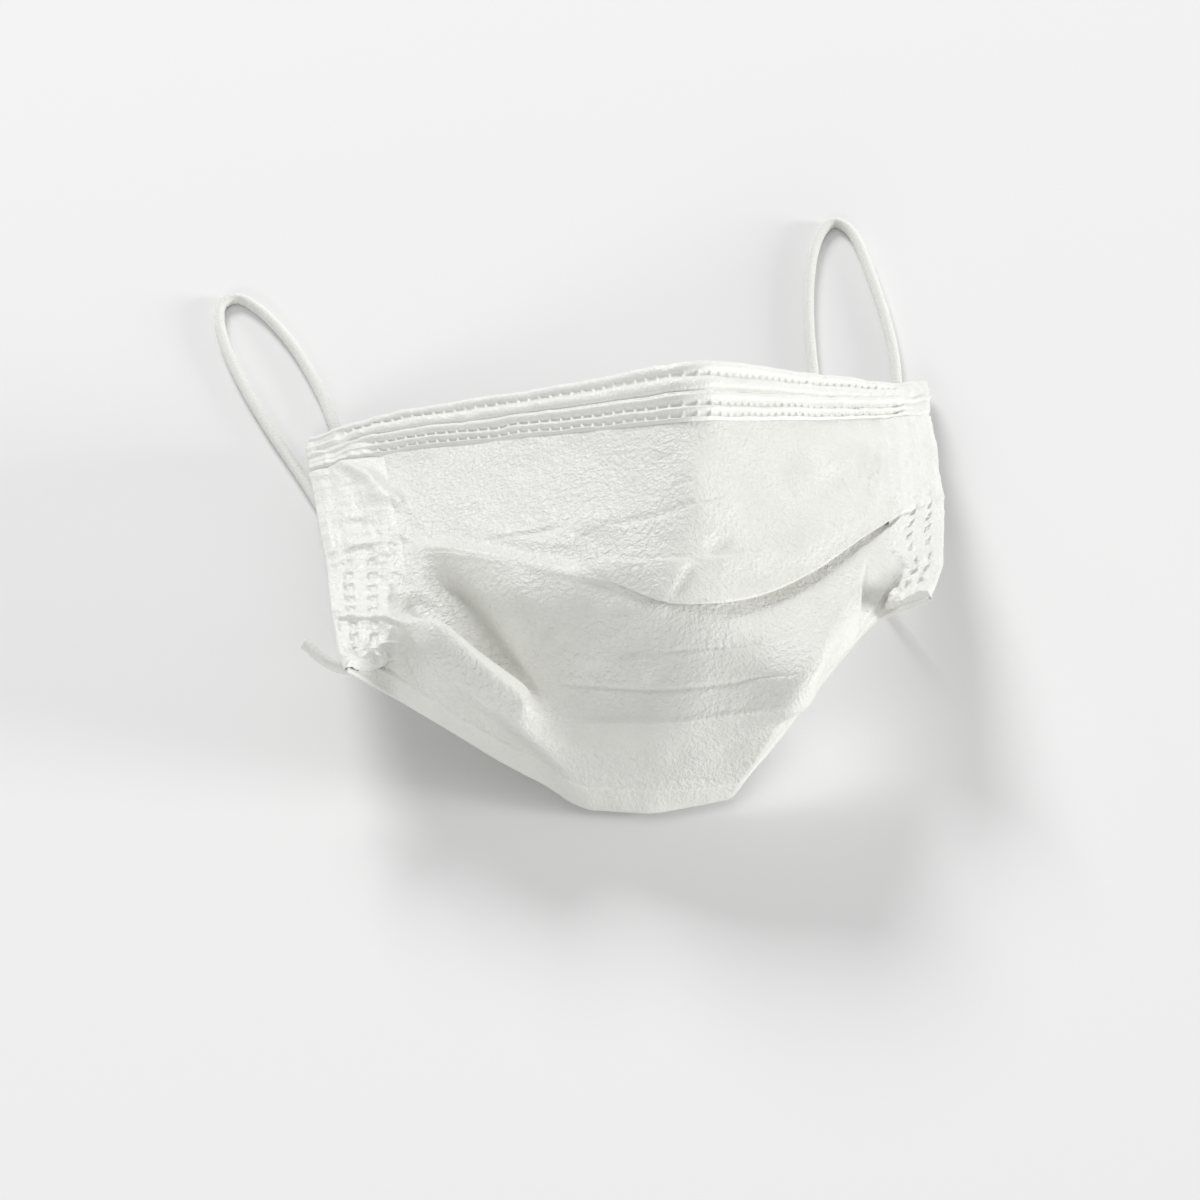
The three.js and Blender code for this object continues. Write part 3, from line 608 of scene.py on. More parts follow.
def closed_sheet(name, outer, inner, material, flat):
    """A closed sheet. outer is a grid of points with odd numbers of rows and columns, and inner is the same
    grid on the other face, of which every second row and column is kept. The rims join two outer edges to an
    inner one. flat holds the places on the flat cloth, for the piece's UV map."""
    kept, flat_kept = inner[::2, ::2], flat[::2, ::2]
    top = np.arange(outer.shape[0] * outer.shape[1]).reshape(outer.shape[:2])
    under = top.size + np.arange(kept.shape[0] * kept.shape[1]).reshape(kept.shape[:2])
    rims = ((top[0], under[0], 1), (top[-1], under[-1], -1),
            (top[:, 0], under[:, 0], -1), (top[:, -1], under[:, -1], 1))
    triangles = []
    for fine, coarse, way in rims:
        start, middle, end, low, high = fine[:-2:2], fine[1::2], fine[2::2], coarse[:-1], coarse[1:]
        for corners in ((start, middle, low), (middle, high, low), (middle, end, high)):
            triangles.append(np.stack(corners[::way], axis=-1))
    points = np.concatenate([outer.reshape(-1, 3), kept.reshape(-1, 3)])
    quads = np.concatenate([grid_quads(top), grid_quads(under)[:, ::-1]])
    uv = np.concatenate([flat.reshape(-1, 2), flat_kept.reshape(-1, 2)])
    return make_piece(name, points, quads, material, np.concatenate(triangles), uv)


# The section of a sheet that lies unfolded on the mask
FACING_OUT = (0, 0, 0, 0, 1)


def cloth_sheet(name, across, down, lift, thickness, material, section=FACING_OUT):
    """A closed sheet of cloth on the mask. section holds its moves up and aside from its place on the mask,
    and its own outward direction there as shares of up, aside and out. Its inner face lies the thickness
    against that direction."""
    up, aside, facing_up, facing_aside, facing_out = section
    outer = on_mask(across, down, lift, up, aside)
    inner = on_mask(across, down, lift - facing_out * thickness, up - facing_up * thickness,
                    aside - facing_aside * thickness)
    flat = np.stack(np.broadcast_arrays(*flat_place(across, down)), axis=-1)
    return closed_sheet(name, outer, inner, material, flat)


# --------------------------------------------------------------------------------------------------
# Materials
# --------------------------------------------------------------------------------------------------

def linear(code):
    """An sRGB hex colour as linear red, green and blue."""
    values = [int(code[i:i + 2], 16) / 255 for i in (1, 3, 5)]
    return tuple(v / 12.92 if v <= 0.04045 else ((v + 0.055) / 1.055) ** 2.4 for v in values)


def add_node(tree, kind, settings=None, inputs=None):
    """Adds a node with its settings. An input is a value, or a (node, output) pair that is linked to it."""
    node = tree.nodes.new(kind)
    for key, value in (settings or {}).items():
        setattr(node, key, value)
    for key, value in (inputs or {}).items():
        if isinstance(value, tuple) and isinstance(value[0], bpy.types.Node):
            tree.links.new(value[0].outputs[value[1]], node.inputs[key])
        else:
            node.inputs[key].default_value = value
    return node


def new_material(name, **sockets):
    """A material with its shader's sockets set, its node tree and its shader."""
    material = bpy.data.materials.new(name)
    material.use_nodes = True
    shader = material.node_tree.nodes["Principled BSDF"]
    for key, value in sockets.items():
        shader.inputs[key.replace("_", " ")].default_value = value
    return material, material.node_tree, shader


def spunbonded_polypropylene(name, dark, pale, leather=1.0):
    """Spunbonded polypropylene, of fibres laid at random and rolled hot: matt and slightly sheer, with a
    leathery grain in the patches that were pressed most, and a fine grain of fibres over all. Its fibres are
    0.02 mm thick, and are drawn 0.55 mm coarse so that they show. Its colour is paler over those pressed
    patches: partly the cloth's uneven tone, and partly painted sheen where the leathery grain would glint."""
    material, tree, shader = new_material(name, Roughness=0.42, Sheen_Weight=0.1, Specular_IOR_Level=0.5)
    place = add_node(tree, "ShaderNodeTexCoord")
    fibres = add_node(tree, "ShaderNodeTexNoise", None, {
        "Vector": (place, "Object"), "Scale": 1 / (0.55 * MM), "Detail": 2.0, "Roughness": 0.6})
    grain = add_node(tree, "ShaderNodeTexNoise", None, {
        "Vector": (place, "Object"), "Scale": 1 / (1.1 * MM), "Detail": 3.0, "Roughness": 0.65,
        "Distortion": 0.3})
    patches = add_node(tree, "ShaderNodeTexNoise", None, {
        "Vector": (place, "Object"), "Scale": 1 / (9 * MM), "Detail": 3.0})
    # Painted sheen: the colour turns paler over the pressed patches, partly as the cloth's uneven tone and
    # partly as sheen painted in.
    tint = add_node(tree, "ShaderNodeMix", {"data_type": "RGBA"}, {
        0: (patches, "Fac"), 6: (*dark, 1), 7: (*pale, 1)})
    pressed = add_node(tree, "ShaderNodeMath", {"operation": "MULTIPLY"}, {
        0: (grain, "Fac"), 1: (patches, "Fac")})
    coarse = add_node(tree, "ShaderNodeBump", None, {
        "Strength": leather, "Distance": 0.75 * MM, "Height": (pressed, "Value")})
    fine = add_node(tree, "ShaderNodeBump", None, {
        "Strength": 0.8, "Distance": 0.12 * MM, "Height": (fibres, "Fac"), "Normal": (coarse, "Normal")})
    tree.links.new(tint.outputs[2], shader.inputs["Base Color"])
    tree.links.new(fine.outputs["Normal"], shader.inputs["Normal"])
    return material


def knitted_elastic(dark, pale):
    """Knitted elastic cord, of polyester loops over a spandex core: soft, matt and finely ribbed, with
    painted shade between its loops, where the same pattern sinks the bump."""
    material, tree, shader = new_material("knitted_elastic", Roughness=0.75, Sheen_Weight=0.3,
                                          Specular_IOR_Level=0.3)
    place = add_node(tree, "ShaderNodeTexCoord")
    loops = add_node(tree, "ShaderNodeTexNoise", None, {
        "Vector": (place, "Object"), "Scale": 1 / (0.5 * MM), "Detail": 2.0})
    # Painted shade: the colour is darker where the pattern sinks the bump, between the loops.
    tint = add_node(tree, "ShaderNodeMix", {"data_type": "RGBA"}, {
        0: (loops, "Fac"), 6: (*dark, 1), 7: (*pale, 1)})
    bump = add_node(tree, "ShaderNodeBump", None, {
        "Strength": 0.5, "Distance": 0.1 * MM, "Height": (loops, "Fac")})
    tree.links.new(tint.outputs[2], shader.inputs["Base Color"])
    tree.links.new(bump.outputs["Normal"], shader.inputs["Normal"])
    return material


def coated_wire():
    """Galvanised wire in an extruded polyethylene coat: smooth, milky and slightly waxy."""
    material, tree, shader = new_material("polyethylene_coated_wire", Roughness=0.35, Specular_IOR_Level=0.5)
    place = add_node(tree, "ShaderNodeTexCoord")
    haze = add_node(tree, "ShaderNodeTexNoise", None, {"Vector": (place, "Object"), "Scale": 1 / (2 * MM)})
    tint = add_node(tree, "ShaderNodeMix", {"data_type": "RGBA"}, {
        0: (haze, "Fac"), 6: (*linear("#E6E7E4"), 1), 7: (*linear("#F4F4F0"), 1)})
    tree.links.new(tint.outputs[2], shader.inputs["Base Color"])
    return material


def pale_paper(colour):
    """Uncoated paper: matt and even, so it shows soft shadows and no gloss."""
    return new_material("pale_paper", Base_Color=(*colour, 1), Roughness=0.9, Specular_IOR_Level=0.1)[0]


# --------------------------------------------------------------------------------------------------
# Shapes of the pieces
# --------------------------------------------------------------------------------------------------

def flattened(row, share, up):
    """A row of the panel's section between the flat cloth, at share 0, and its own place in the fold, at
    share 1."""
    number, lift, own_up, facing_up, facing_out = row
    return (number, share * lift, share * own_up + (1 - share) * up, share * facing_up,
            share * facing_out + (1 - share))


def pleat_rows(number, line, across):
    """Rows over a pleat: round its lip, back under it and round again, each (line, lift, up, facing up,
    facing out). With an angle from 0 to pi, the lip is at lift -radius x (1 - cos) and up -radius x sin, and
    the turn behind it goes the other way round. Where the pleat is shut, the rows lie close together on the
    cloth."""
    lip, overlap = of_line(line, "lip", across), of_line(line, "overlap", across)
    turn, inside = TURN_RADIUS * lip, -2 * lip
    tuck = np.maximum(of_line(line, "tuck", across), 2 * lip + 2 * turn)
    rows = [(number, -lip * (1 - math.cos(angle)), -lip * math.sin(angle), -math.sin(angle), math.cos(angle))
            for angle in np.linspace(0, math.pi, LIP_ROWS)]
    rows.append((number, inside, overlap * 0.5, 0, -1))
    rows += [(number, inside - turn * (1 - math.cos(angle)), overlap + turn * math.sin(angle),
              -math.sin(angle), -math.cos(angle)) for angle in np.linspace(0, math.pi, TURN_ROWS)]
    rows.append((number, (inside - 2 * turn - tuck) / 2, overlap * 0.5, 0, 1))
    rows.append((number, -tuck, 0, 0, 1))
    share = opened(line, across)
    return [flattened(row, share, -SHUT_ROW * MM * step) for step, row in enumerate(rows)]


def panel_rows(across, steps):
    """The panel's section down the mask, as rows of (line, lift, up, facing up, facing out)."""
    rows = []
    for number, line in enumerate(LINES):
        rows += pleat_rows(number, line, across) if "tuck" in line else [(number, 0, 0, 0, 1)]
        if number < LAST_LINE:
            rows += [(number + step / steps[number], 0, 0, 0, 1) for step in range(1, steps[number])]
    return rows


def build_panel(sizes, material):
    """The panel: its section at each station, lifted by the relief and sunk where other cloth covers it."""
    across = even_stations(odd(sizes.panel_columns))
    steps = list(PANEL_STEPS)
    steps[-1] += 1 - len(panel_rows(across, steps)) % 2
    rows = panel_rows(across, steps)
    down, lift, up, facing_up, facing_out = (
        np.stack([np.broadcast_to(row[part], across.shape) for row in rows]) for part in range(5))
    lift = lift + relief(across, down)
    out = down * cloth_below(0, across)
    covered = np.maximum(1 - smooth_step(*HEM_COVERS, out),
                         smooth_step(*STRIP_COVERS, np.abs(across - LAST_STATION / 2)))
    pressed = smooth_step(*PRESSED_FROM, out) * smooth_step(*PRESSED_TO, out)
    lift = lift - (COVERED_SINK * covered + PRESSED_SINK * pressed) * MM
    return cloth_sheet("pleated_panel", across, down, lift, sizes.panel_thickness, material,
                       (up, 0, facing_up, 0, facing_out))


def fold_section(fold):
    """Section of a cloth folded round an edge, from inside to outside: distances in from the edge, heights
    above the middle of the fold, how far it lies past the edge, and the shares past the edge and out of its
    outward direction. Round the fold, height is radius x sin and past is radius x cos of the angle."""
    inner, around, outer = fold["rows"]
    radius = fold["radius"]
    inside = [(place, -radius, 0, 0, -1) for place in np.linspace(fold["turn"], 0, inner, endpoint=False)]
    angles = np.linspace(-math.pi / 2, math.pi / 2, around)
    roll = [(0, radius * math.sin(a), radius * math.cos(a), math.cos(a), math.sin(a)) for a in angles]
    outside = [(place, radius, 0, 0, 1) for place in np.linspace(0, fold["reach"], outer + 1)[1:]]
    return np.array(inside + roll + outside).T


def fold_lift(fold, out, height):
    """Millimetres from the panel's outside to a fold's cloth: its height above the base, less the sink at
    its outer end."""
    ends = smooth_step(fold["reach"], fold["reach"] - fold["sinks"], out)
    return height - fold["base"] - fold["sink"] * (1 - ends)


def fold_shown(fold, out, height):
    """1 on a fold's outside and 0 on its inside and at its outer end."""
    over = smooth_step(SHOWN_FROM, fold["radius"], height)
    return over * smooth_step(fold["reach"], fold["reach"] - fold["fades"], out)


def puff(low, high, height, out):
    """Cloth puffed up between two seams: 4 x height x share of the way x (1 - that share)."""
    share = np.clip((out - low) / (high - low), 0, 1)
    return height * 4 * share * (1 - share)


def nose_hem_relief(along, out, across):
    """Lift of the nose hem's outside, in millimetres, from the length along it and the distance from its
    edge: puffs between its seams, sunk lines, welded slots in three rows, and crumples at both ends."""
    slots = window(*HEM_SLOT, (along / HEM_WELD_PITCH) % 1)
    crumpled = 1 - window(*HEM_CRUMPLE["within"], across)
    lift = waves(along, out, HEM_WAVES)
    lift += crumpled * HEM_CRUMPLE["height"] * crinkle(along, out, HEM_CRUMPLE["size"], HEM_CRUMPLE["seed"])
    for low, high, height in HEM_PUFFS:
        lift += puff(low, high, height, out)
    for line in HEM_LINES:
        run = math.prod(window(*each, across) for each in line["runs"])
        lift -= run * line["depth"] * bell(out - line["out"], line["width"])
    for row in HEM_WELD_ROWS:
        run = window(row["start"], row["end"], HEM_WELD_ENDS, across)
        in_row = window(row["out"] - HEM_WELD_HALF, row["out"] + HEM_WELD_HALF, HEM_WELD_SOFT, out)
        lift -= run * row["depth"] * in_row * (HEM_WELD_SHALLOW + (1 - HEM_WELD_SHALLOW) * slots)
    return lift


def build_nose_hem(sizes, material):
    """The nose hem, folded forward round the nose edge, over the wire and down to where it sinks into the
    panel."""
    across = even_stations(odd(sizes.hem_columns))
    out, height, past, facing_past, facing_out = fold_section(NOSE_HEM)[:, :, None]
    along = lengths_to(plain_place(across, HEM_LENGTH_LINE)) / MM
    down = out / cloth_below(0, across)
    own = fold_shown(NOSE_HEM, out, height) * nose_hem_relief(along, out, across)
    lift = (fold_lift(NOSE_HEM, out, height) + own) * MM + relief(across, down)
    return cloth_sheet("nose_hem_cloth", across, down, lift, sizes.ply_thickness, material,
                       (past * MM, 0, facing_past, 0, facing_out))


def build_chin_hem(sizes, material):
    """The chin hem, folded forward round the chin edge. It stays short of the line above, also where the
    two lie close together."""
    across = even_stations(odd(sizes.panel_columns))
    out, height, past, facing_past, facing_out = fold_section(CHIN_HEM)[:, :, None]
    down = LAST_LINE - out / np.maximum(cloth_below(LAST_LINE - 1, across), CHIN_LEAST_CLOTH)
    lift = fold_lift(CHIN_HEM, out, height) * MM + relief(across, down)
    return cloth_sheet("chin_hem_cloth", across, down, lift, CHIN_PLY * MM, material,
                       (-past * MM, 0, -facing_past, 0, facing_out))


def strip_relief(along, left, out, side):
    """Lift of a side strip's outside, in millimetres, from the length along it, the length left to its foot
    and the distance from the mask's edge: columns of welded dots, the cloth puffed up between them and
    crinkled by the folds under it, and the turned end at its foot."""
    seed = 21 + 10 * side
    # Coarse crinkles drawn out across the strip, slow waves, and fine crinkles drawn out along it
    lift = 0.2 * crinkle(along, out * 0.6, 5, seed) + 0.25 * soft_noise(along, out, 8, seed + 5)
    lift += 0.12 * crinkle(out, along * 0.7, 2.6, seed + 7)
    columns = [0] + [place for place, depth in STRIP_WELD_COLUMNS]
    for low, high in zip(columns[:-1], columns[1:]):
        lift += puff(low, high, STRIP_PUFF, out)
    deep = STRIP_FAINT + (1 - STRIP_FAINT) * smooth_step(*STRIP_DEEPENS, along)
    dots = window(*STRIP_DOT, (along / STRIP_WELD_PITCH) % 1) * smooth_step(STRIP_FLAP, STRIP_FLAP + 1, left)
    for place, depth in STRIP_WELD_COLUMNS:
        in_column = window(place - STRIP_WELD_HALF, place + STRIP_WELD_HALF, STRIP_WELD_SOFT, out)
        lift -= deep * depth * dots * in_column
    flap = smooth_step(STRIP_FLAP + 0.4, STRIP_FLAP - 0.6, left)
    return lift + flap * (STRIP_FLAP_LIFT + STRIP_FLAP_CRINKLE * crinkle(out, along, 4, seed + 9))


def build_strip(side, sizes, material):
    """A side strip, folded round the mask's side edge; side is -1 for the left and 1 for the right. Its rows
    run from the line where it starts to its slanting foot."""
    out, height, past, facing_past, facing_out = fold_section(SIDE_STRIP)[:, None, :]
    foot = np.interp(out, (0, SIDE_STRIP["reach"]), STRIP_FEET[side])
    down = STRIP_TOP + (foot - STRIP_TOP) * np.linspace(0, 1, odd(sizes.strip_rows))[:, None]
    share = out * MM / FLAT_ACROSS[1]
    across = share if side < 0 else LAST_STATION - share
    lines = np.linspace(0, LAST_LINE, LENGTH_PLACES)
    station = STRIP_STATION if side < 0 else LAST_STATION - STRIP_STATION
    lengths = lengths_to(plain_place(np.full_like(lines, station), lines)) / MM
    along = np.interp(down, lines, lengths) - np.interp(STRIP_TOP, lines, lengths)
    left = along[-1] - along
    foot_sink = STRIP_FOOT_SINK * smooth_step(*STRIP_FOOT_SINKS, left)
    top_sink = STRIP_TOP_SINK * smooth_step(*STRIP_TOP_SINKS, along)
    own = fold_shown(SIDE_STRIP, out, height) * (strip_relief(along, left, out, side) - foot_sink - top_sink)
    lift = (fold_lift(SIDE_STRIP, out, height) + own) * MM + relief(across, down)
    # The columns of the right strip run inwards from its edge, so they are turned round to face outwards
    order = slice(None, None, -side)
    across, down, lift, past, facing_past, facing_out = (
        part[:, order] for part in (across, down, lift, side * past * MM, side * facing_past, facing_out))
    name = {-1: "side_strip_left_cloth", 1: "side_strip_right_cloth"}[side]
    return cloth_sheet(name, across, down, lift, sizes.ply_thickness, material,
                       (0, past, 0, facing_past, facing_out))


def build_weld(weld, material):
    """A cord's end melted onto the cloth's inside. With x and y from -1 to 1 over it, it is deeper than its
    rim by (1 - x^4) (1 - y^6) of the rest."""
    place = np.linspace(-1, 1, WELD_PLACES)
    aside, below = place[None, :], place[:, None]
    across = weld["across"] + WELD_REACH * aside
    down = weld["start"] + (weld["end"] - weld["start"]) * (below + 1) / 2
    swelling = (1 - aside**4) * (1 - below**6)
    thick = (WELD_RIM + (1 - WELD_RIM) * swelling) * WELD_DEPTH * MM
    lift = relief(across, down) - WELD_BELOW * MM
    return cloth_sheet(weld["name"] + "_cushion", across, down, lift, thick, material)


def build_wire():
    """The flat nose wire, a strip that follows the panel inside the nose hem."""
    across = np.linspace(*WIRE_STATIONS, WIRE_COLUMNS)
    down = np.linspace(WIRE_FROM, WIRE_TO, WIRE_ROWS)[:, None] / cloth_below(0, across)
    lift = relief(across, down) - WIRE_BELOW * MM
    return cloth_sheet("wire_in_hem", across, down, lift, WIRE_THICKNESS * MM, coated_wire())


def cord_path(route, step):
    """Points a step apart on the smooth curve through a route in millimetres, and the curve's length."""
    fine = through(np.array(route, float) * MM, ROUTE_STEPS)
    lengths = lengths_to(fine)
    places = np.linspace(0, lengths[-1], int(round(lengths[-1] / step)) + 1)
    return np.stack([np.interp(places, lengths, fine[:, axis]) for axis in range(3)], axis=-1), lengths[-1]


def build_cord(name, route, diameter, material):
    """A knitted round cord: rings round its path, their radius rippled by the greater of cos(2 angle + 2 pi
    along) and cos(2 angle - 2 pi along), which are two crossing spirals of loops. Its ends are closed by
    fans."""
    path, length = cord_path(route, CORD_STEP * MM)
    ahead = unit(np.gradient(path, axis=0))
    side = unit(np.cross(ahead, (0.2, 0.3, 1.0)))
    over = np.cross(side, ahead)
    angle = np.linspace(0, 2 * math.pi, CORD_SIDES, endpoint=False)[None, :]
    along = np.linspace(0, length, len(path))[:, None] / (CORD_LOOP * MM)
    loops = np.maximum(np.cos(2 * angle + 2 * math.pi * along), np.cos(2 * angle - 2 * math.pi * along))
    radius = diameter / 2 * (1 + CORD_RELIEF * (loops - 0.5))
    ring = side[:, None] * np.cos(angle)[..., None] + over[:, None] * np.sin(angle)[..., None]
    points = path[:, None] + ring * radius[..., None]
    points[..., 2] = np.maximum(points[..., 2], CORD_LOWEST * MM)
    index = np.arange(len(path) * CORD_SIDES).reshape(-1, CORD_SIDES)
    around = np.concatenate([index, index[:, :1]], axis=1)
    first, last = (np.full(CORD_SIDES, index.size + end) for end in (0, 1))
    caps = np.concatenate([np.stack([first, around[0, 1:], around[0, :-1]], axis=-1),
                           np.stack([last, around[-1, :-1], around[-1, 1:]], axis=-1)])
    points = np.concatenate([points.reshape(-1, 3), path[[0, -1]]])
    piece = make_piece(name + "_cord", points, grid_quads(around)[:, ::-1], material, caps)
    return piece, path, float(length)


# --------------------------------------------------------------------------------------------------
# Settings
# --------------------------------------------------------------------------------------------------

def length_setting(name, description, millimetres):
    """A length that the user can change."""
    return FloatProperty(name=name, description=description, default=millimetres * MM, unit="LENGTH")


def angle_setting(name, description, degrees):
    """An angle that the user can change."""
    return FloatProperty(name=name, description=description, default=math.radians(degrees), subtype="ANGLE")


def colour_setting(name, description, code):
    """A colour that the user can change, from its sRGB hex code."""
    return FloatVectorProperty(name=name, description=description, default=linear(code), size=3,
                               subtype="COLOR")


class FaceMaskSizes(bpy.types.PropertyGroup):
    """Sizes of the mask, counts of its meshes, and the camera's direction"""
    cord_diameter: length_setting("Cord diameter", "Diameter of the ear loops", 2)
    panel_thickness: length_setting("Panel thickness", "Thickness of the panel's three layers together", 0.4)
    ply_thickness: length_setting("Ply thickness", "Thickness of the nose hem and the side strips", 0.3)
    panel_columns: IntProperty(name="Panel columns", description="Columns of the panel's mesh", default=281)
    hem_columns: IntProperty(name="Hem columns", description="Columns of the nose hem's mesh", default=681)
    strip_rows: IntProperty(name="Strip rows", description="Rows of a side strip's mesh", default=321)
    view_angle: angle_setting("View angle", "Height of the camera over the table", 42)
    view_turn: angle_setting("View turn", "Turn of the camera to the mask's right", -6)


class FaceMaskColours(bpy.types.PropertyGroup):
    """Colours of the mask and the table"""
    # The panel's colours, which the chin hem shares, are darker than the plies' as painted shade: the hollow
    # under the mask shows through the sheer panel, and the chin edge lies in shade.
    panel_dark: colour_setting("Panel, darkest", "Darkest shade of the panel and the chin hem", "#D8D8D2")
    panel_pale: colour_setting("Panel, palest", "Palest shade of the panel and the chin hem", "#F0F0EB")
    plies_dark: colour_setting("Plies, darkest", "Darkest shade of the nose hem and strips", "#E1E1DC")
    plies_pale: colour_setting("Plies, palest", "Palest shade of the nose hem and strips", "#F2F2EE")
    # The cord's darker colour is painted shade between its loops.
    cord_painted_shade: colour_setting("Cord, darkest", "Shade between the cord's loops", "#D8D8D2")
    cord_pale: colour_setting("Cord, palest", "Shade of the cord's loops", "#F2F2EE")
    table: colour_setting("Table", "The table the mask lies on", "#EEEEEE")


# --------------------------------------------------------------------------------------------------
# Operators
# --------------------------------------------------------------------------------------------------

def attach(piece, node):
    """Lets a piece move with the mask's one body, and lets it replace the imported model's
    node."""
    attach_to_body(piece, BODY)
    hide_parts(node)


def cloth_in_painted_shade(name, **grain):
    """The cloth of the panel and the chin hem, in darker colours than the plies. On the panel they are
    painted shade of the mask's dark hollow showing through the sheer cloth, and on the chin hem painted shade
    of the shaded chin edge.
    """
    colours = bpy.context.scene.face_mask_colours
    return spunbonded_polypropylene(name, colours.panel_dark, colours.panel_pale, **grain)


def welded_plies(name, **grain):
    """Several plies of the cloth welded together, which are whiter."""
    colours = bpy.context.scene.face_mask_colours
    return spunbonded_polypropylene(name, colours.plies_dark, colours.plies_pale, **grain)


class FACEMASK_OT_camera(bpy.types.Operator):
    """Sets up the camera"""
    bl_idname = "facemask.camera"
    bl_label = "Camera"

    def execute(self, context):
        sizes = context.scene.face_mask_sizes
        turn, height = sizes.view_turn, sizes.view_angle
        right = Vector((math.cos(turn), math.sin(turn), 0))
        ahead = Vector((-math.sin(turn), math.cos(turn), 0))
        back = Vector((0, 0, math.sin(height))) - math.cos(height) * ahead
        over = back.cross(right)
        aside = CAMERA_ASIDE * right + CAMERA_OVER * over + CAMERA_BACK * back
        camera = bpy.data.cameras.new("camera")
        camera.lens, camera.sensor_width = CAMERA_LENS, CAMERA_SENSOR
        camera.clip_start, camera.clip_end = 0.01, 20
        turned = Matrix((right, over, back)).transposed()
        holder = link("camera", camera)
        holder.matrix_world = Matrix.Translation((Vector(CAMERA_AIM) + aside) * MM) @ turned.to_4x4()
        context.scene.camera = holder
        return {"FINISHED"}


class FACEMASK_OT_ear_loops(bpy.types.Operator):
    """Makes the two ear loops and the left loop's loose tail"""
    bl_idname = "facemask.ear_loops"
    bl_label = "Ear loops"

    def execute(self, context):
        colours = context.scene.face_mask_colours
        material = knitted_elastic(colours.cord_painted_shade, colours.cord_pale)
        diameter = context.scene.face_mask_sizes.cord_diameter
        made = {name: build_cord(name, route, diameter, material) for name, route in CORD_ROUTES.items()}
        for name, (piece, path, length) in made.items():
            attach(piece, name)
        return {"FINISHED"}


class FACEMASK_OT_panel(bpy.types.Operator):
    """Makes the pleated panel"""
    bl_idname = "facemask.panel"
    bl_label = "Panel"

    def execute(self, context):
        # The panel's darker colours are painted shade of the hollow under it.
        piece = build_panel(context.scene.face_mask_sizes, cloth_in_painted_shade("spunbonded_polypropylene"))
        attach(piece, "mask_panel")
        return {"FINISHED"}


class FACEMASK_OT_hems(bpy.types.Operator):
    """Makes the nose hem and the chin hem"""
    bl_idname = "facemask.hems"
    bl_label = "Hems"

    def execute(self, context):
        sizes = context.scene.face_mask_sizes
        hem_cloth = welded_plies("spunbonded_polypropylene_hem", leather=0.6)
        # The chin hem takes the panel's darker colours as painted shade of the shaded chin edge.
        chin_cloth = cloth_in_painted_shade("spunbonded_polypropylene_chin", leather=0.6)
        attach(build_nose_hem(sizes, hem_cloth), "nose_hem")
        attach(build_chin_hem(sizes, chin_cloth), "chin_hem")
        return {"FINISHED"}


class FACEMASK_OT_wire(bpy.types.Operator):
    """Makes the wire in the nose hem"""
    bl_idname = "facemask.wire"
    bl_label = "Nose wire"

    def execute(self, context):
        attach(build_wire(), "nose_wire")
        return {"FINISHED"}


class FACEMASK_OT_side_strips(bpy.types.Operator):
    """Makes the two strips that bind the side edges"""
    bl_idname = "facemask.side_strips"
    bl_label = "Side strips"

    def execute(self, context):
        cloth = welded_plies("spunbonded_polypropylene_strip", leather=0.8)
        for side, name in ((-1, "side_strip_left"), (1, "side_strip_right")):
            attach(build_strip(side, context.scene.face_mask_sizes, cloth), name)
        return {"FINISHED"}


class FACEMASK_OT_welds(bpy.types.Operator):
    """Makes the four welds that hold the ear loops' ends"""
    bl_idname = "facemask.welds"
    bl_label = "Loop welds"

    def execute(self, context):
        cloth = welded_plies("welded_polypropylene", leather=0.3)
        for weld in WELDS:
            attach(build_weld(weld, cloth), weld["name"])
        return {"FINISHED"}


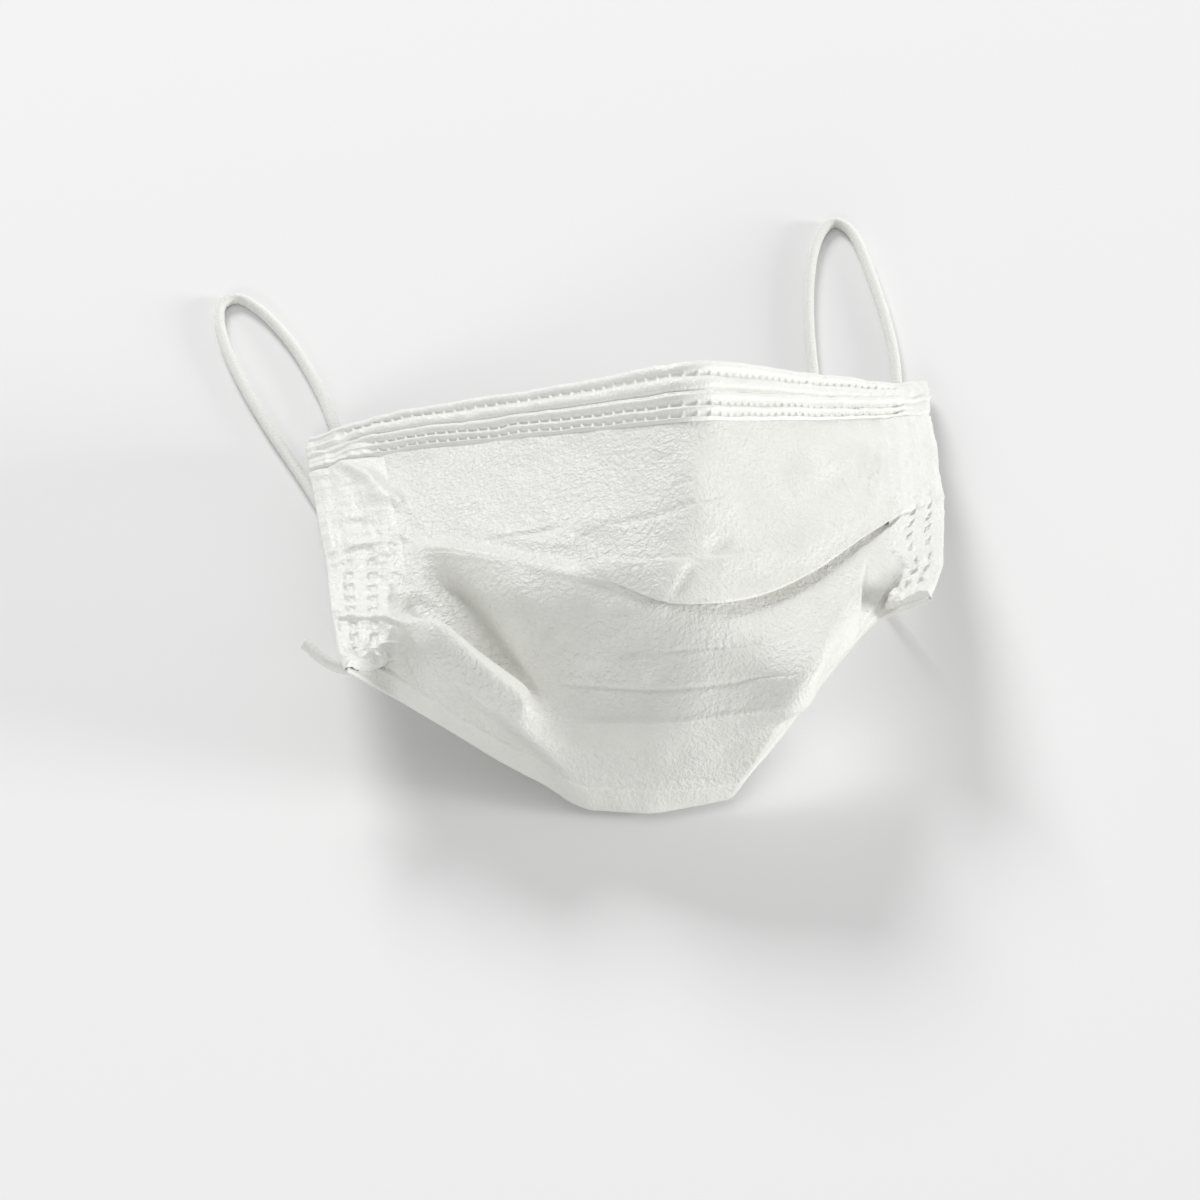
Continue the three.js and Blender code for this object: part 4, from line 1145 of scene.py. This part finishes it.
class FACEMASK_OT_stage(bpy.types.Operator):
    """Makes the table and the lights"""
    bl_idname = "facemask.stage"
    bl_label = "Stage"

    def execute(self, context):
        scene = context.scene
        scene.view_settings.view_transform = "Standard"
        world = bpy.data.worlds.new("studio")
        world.use_nodes = True
        world.node_tree.nodes["Background"].inputs["Color"].default_value = (1, 1, 1, 1)
        world.node_tree.nodes["Background"].inputs["Strength"].default_value = WORLD_STRENGTH
        scene.world = world
        corners = np.array([(-1, 1, 0), (-1, -1, 0), (1, -1, 0), (1, 1, 0)], float) * TABLE_REACH
        make_piece("table", corners, [(0, 1, 2, 3)], pale_paper(scene.face_mask_colours.table))
        for name, place, size, power in LIGHTS:
            lamp = bpy.data.lights.new(name, "AREA")
            lamp.shape, lamp.size, lamp.energy = "DISK", size, power
            holder = link(name, lamp)
            facing = Vector(place).to_track_quat("Z", "Y").to_matrix().to_4x4()
            holder.matrix_world = Matrix.Translation(place) @ facing
        return {"FINISHED"}


class FACEMASK_PT_pieces(bpy.types.Panel):
    """Lists the mask's pieces in the order they are made"""
    bl_idname = "FACEMASK_PT_pieces"
    bl_label = "Face mask"
    bl_space_type = "VIEW_3D"
    bl_region_type = "UI"
    bl_category = "Face mask"

    def draw(self, context):
        for group in (context.scene.face_mask_sizes, context.scene.face_mask_colours):
            for name in group.__annotations__:
                self.layout.prop(group, name)
        for operator in OPERATORS:
            self.layout.operator(operator.bl_idname)


OPERATORS = (FACEMASK_OT_camera, FACEMASK_OT_ear_loops, FACEMASK_OT_panel, FACEMASK_OT_hems,
             FACEMASK_OT_wire, FACEMASK_OT_side_strips, FACEMASK_OT_welds, FACEMASK_OT_stage)
CLASSES = (FaceMaskSizes, FaceMaskColours) + OPERATORS + (FACEMASK_PT_pieces,)


def register():
    for made in CLASSES:
        bpy.utils.register_class(made)
    bpy.types.Scene.face_mask_sizes = PointerProperty(type=FaceMaskSizes)
    bpy.types.Scene.face_mask_colours = PointerProperty(type=FaceMaskColours)


def unregister():
    del bpy.types.Scene.face_mask_colours
    del bpy.types.Scene.face_mask_sizes
    for made in reversed(CLASSES):
        bpy.utils.unregister_class(made)


def main():
    register()
    bpy.ops.facemask.camera()
    bpy.ops.facemask.ear_loops()
    bpy.ops.facemask.panel()
    bpy.ops.facemask.hems()
    bpy.ops.facemask.wire()
    bpy.ops.facemask.side_strips()
    bpy.ops.facemask.welds()
    bpy.ops.facemask.stage()


if __name__ == "__main__":
    main()
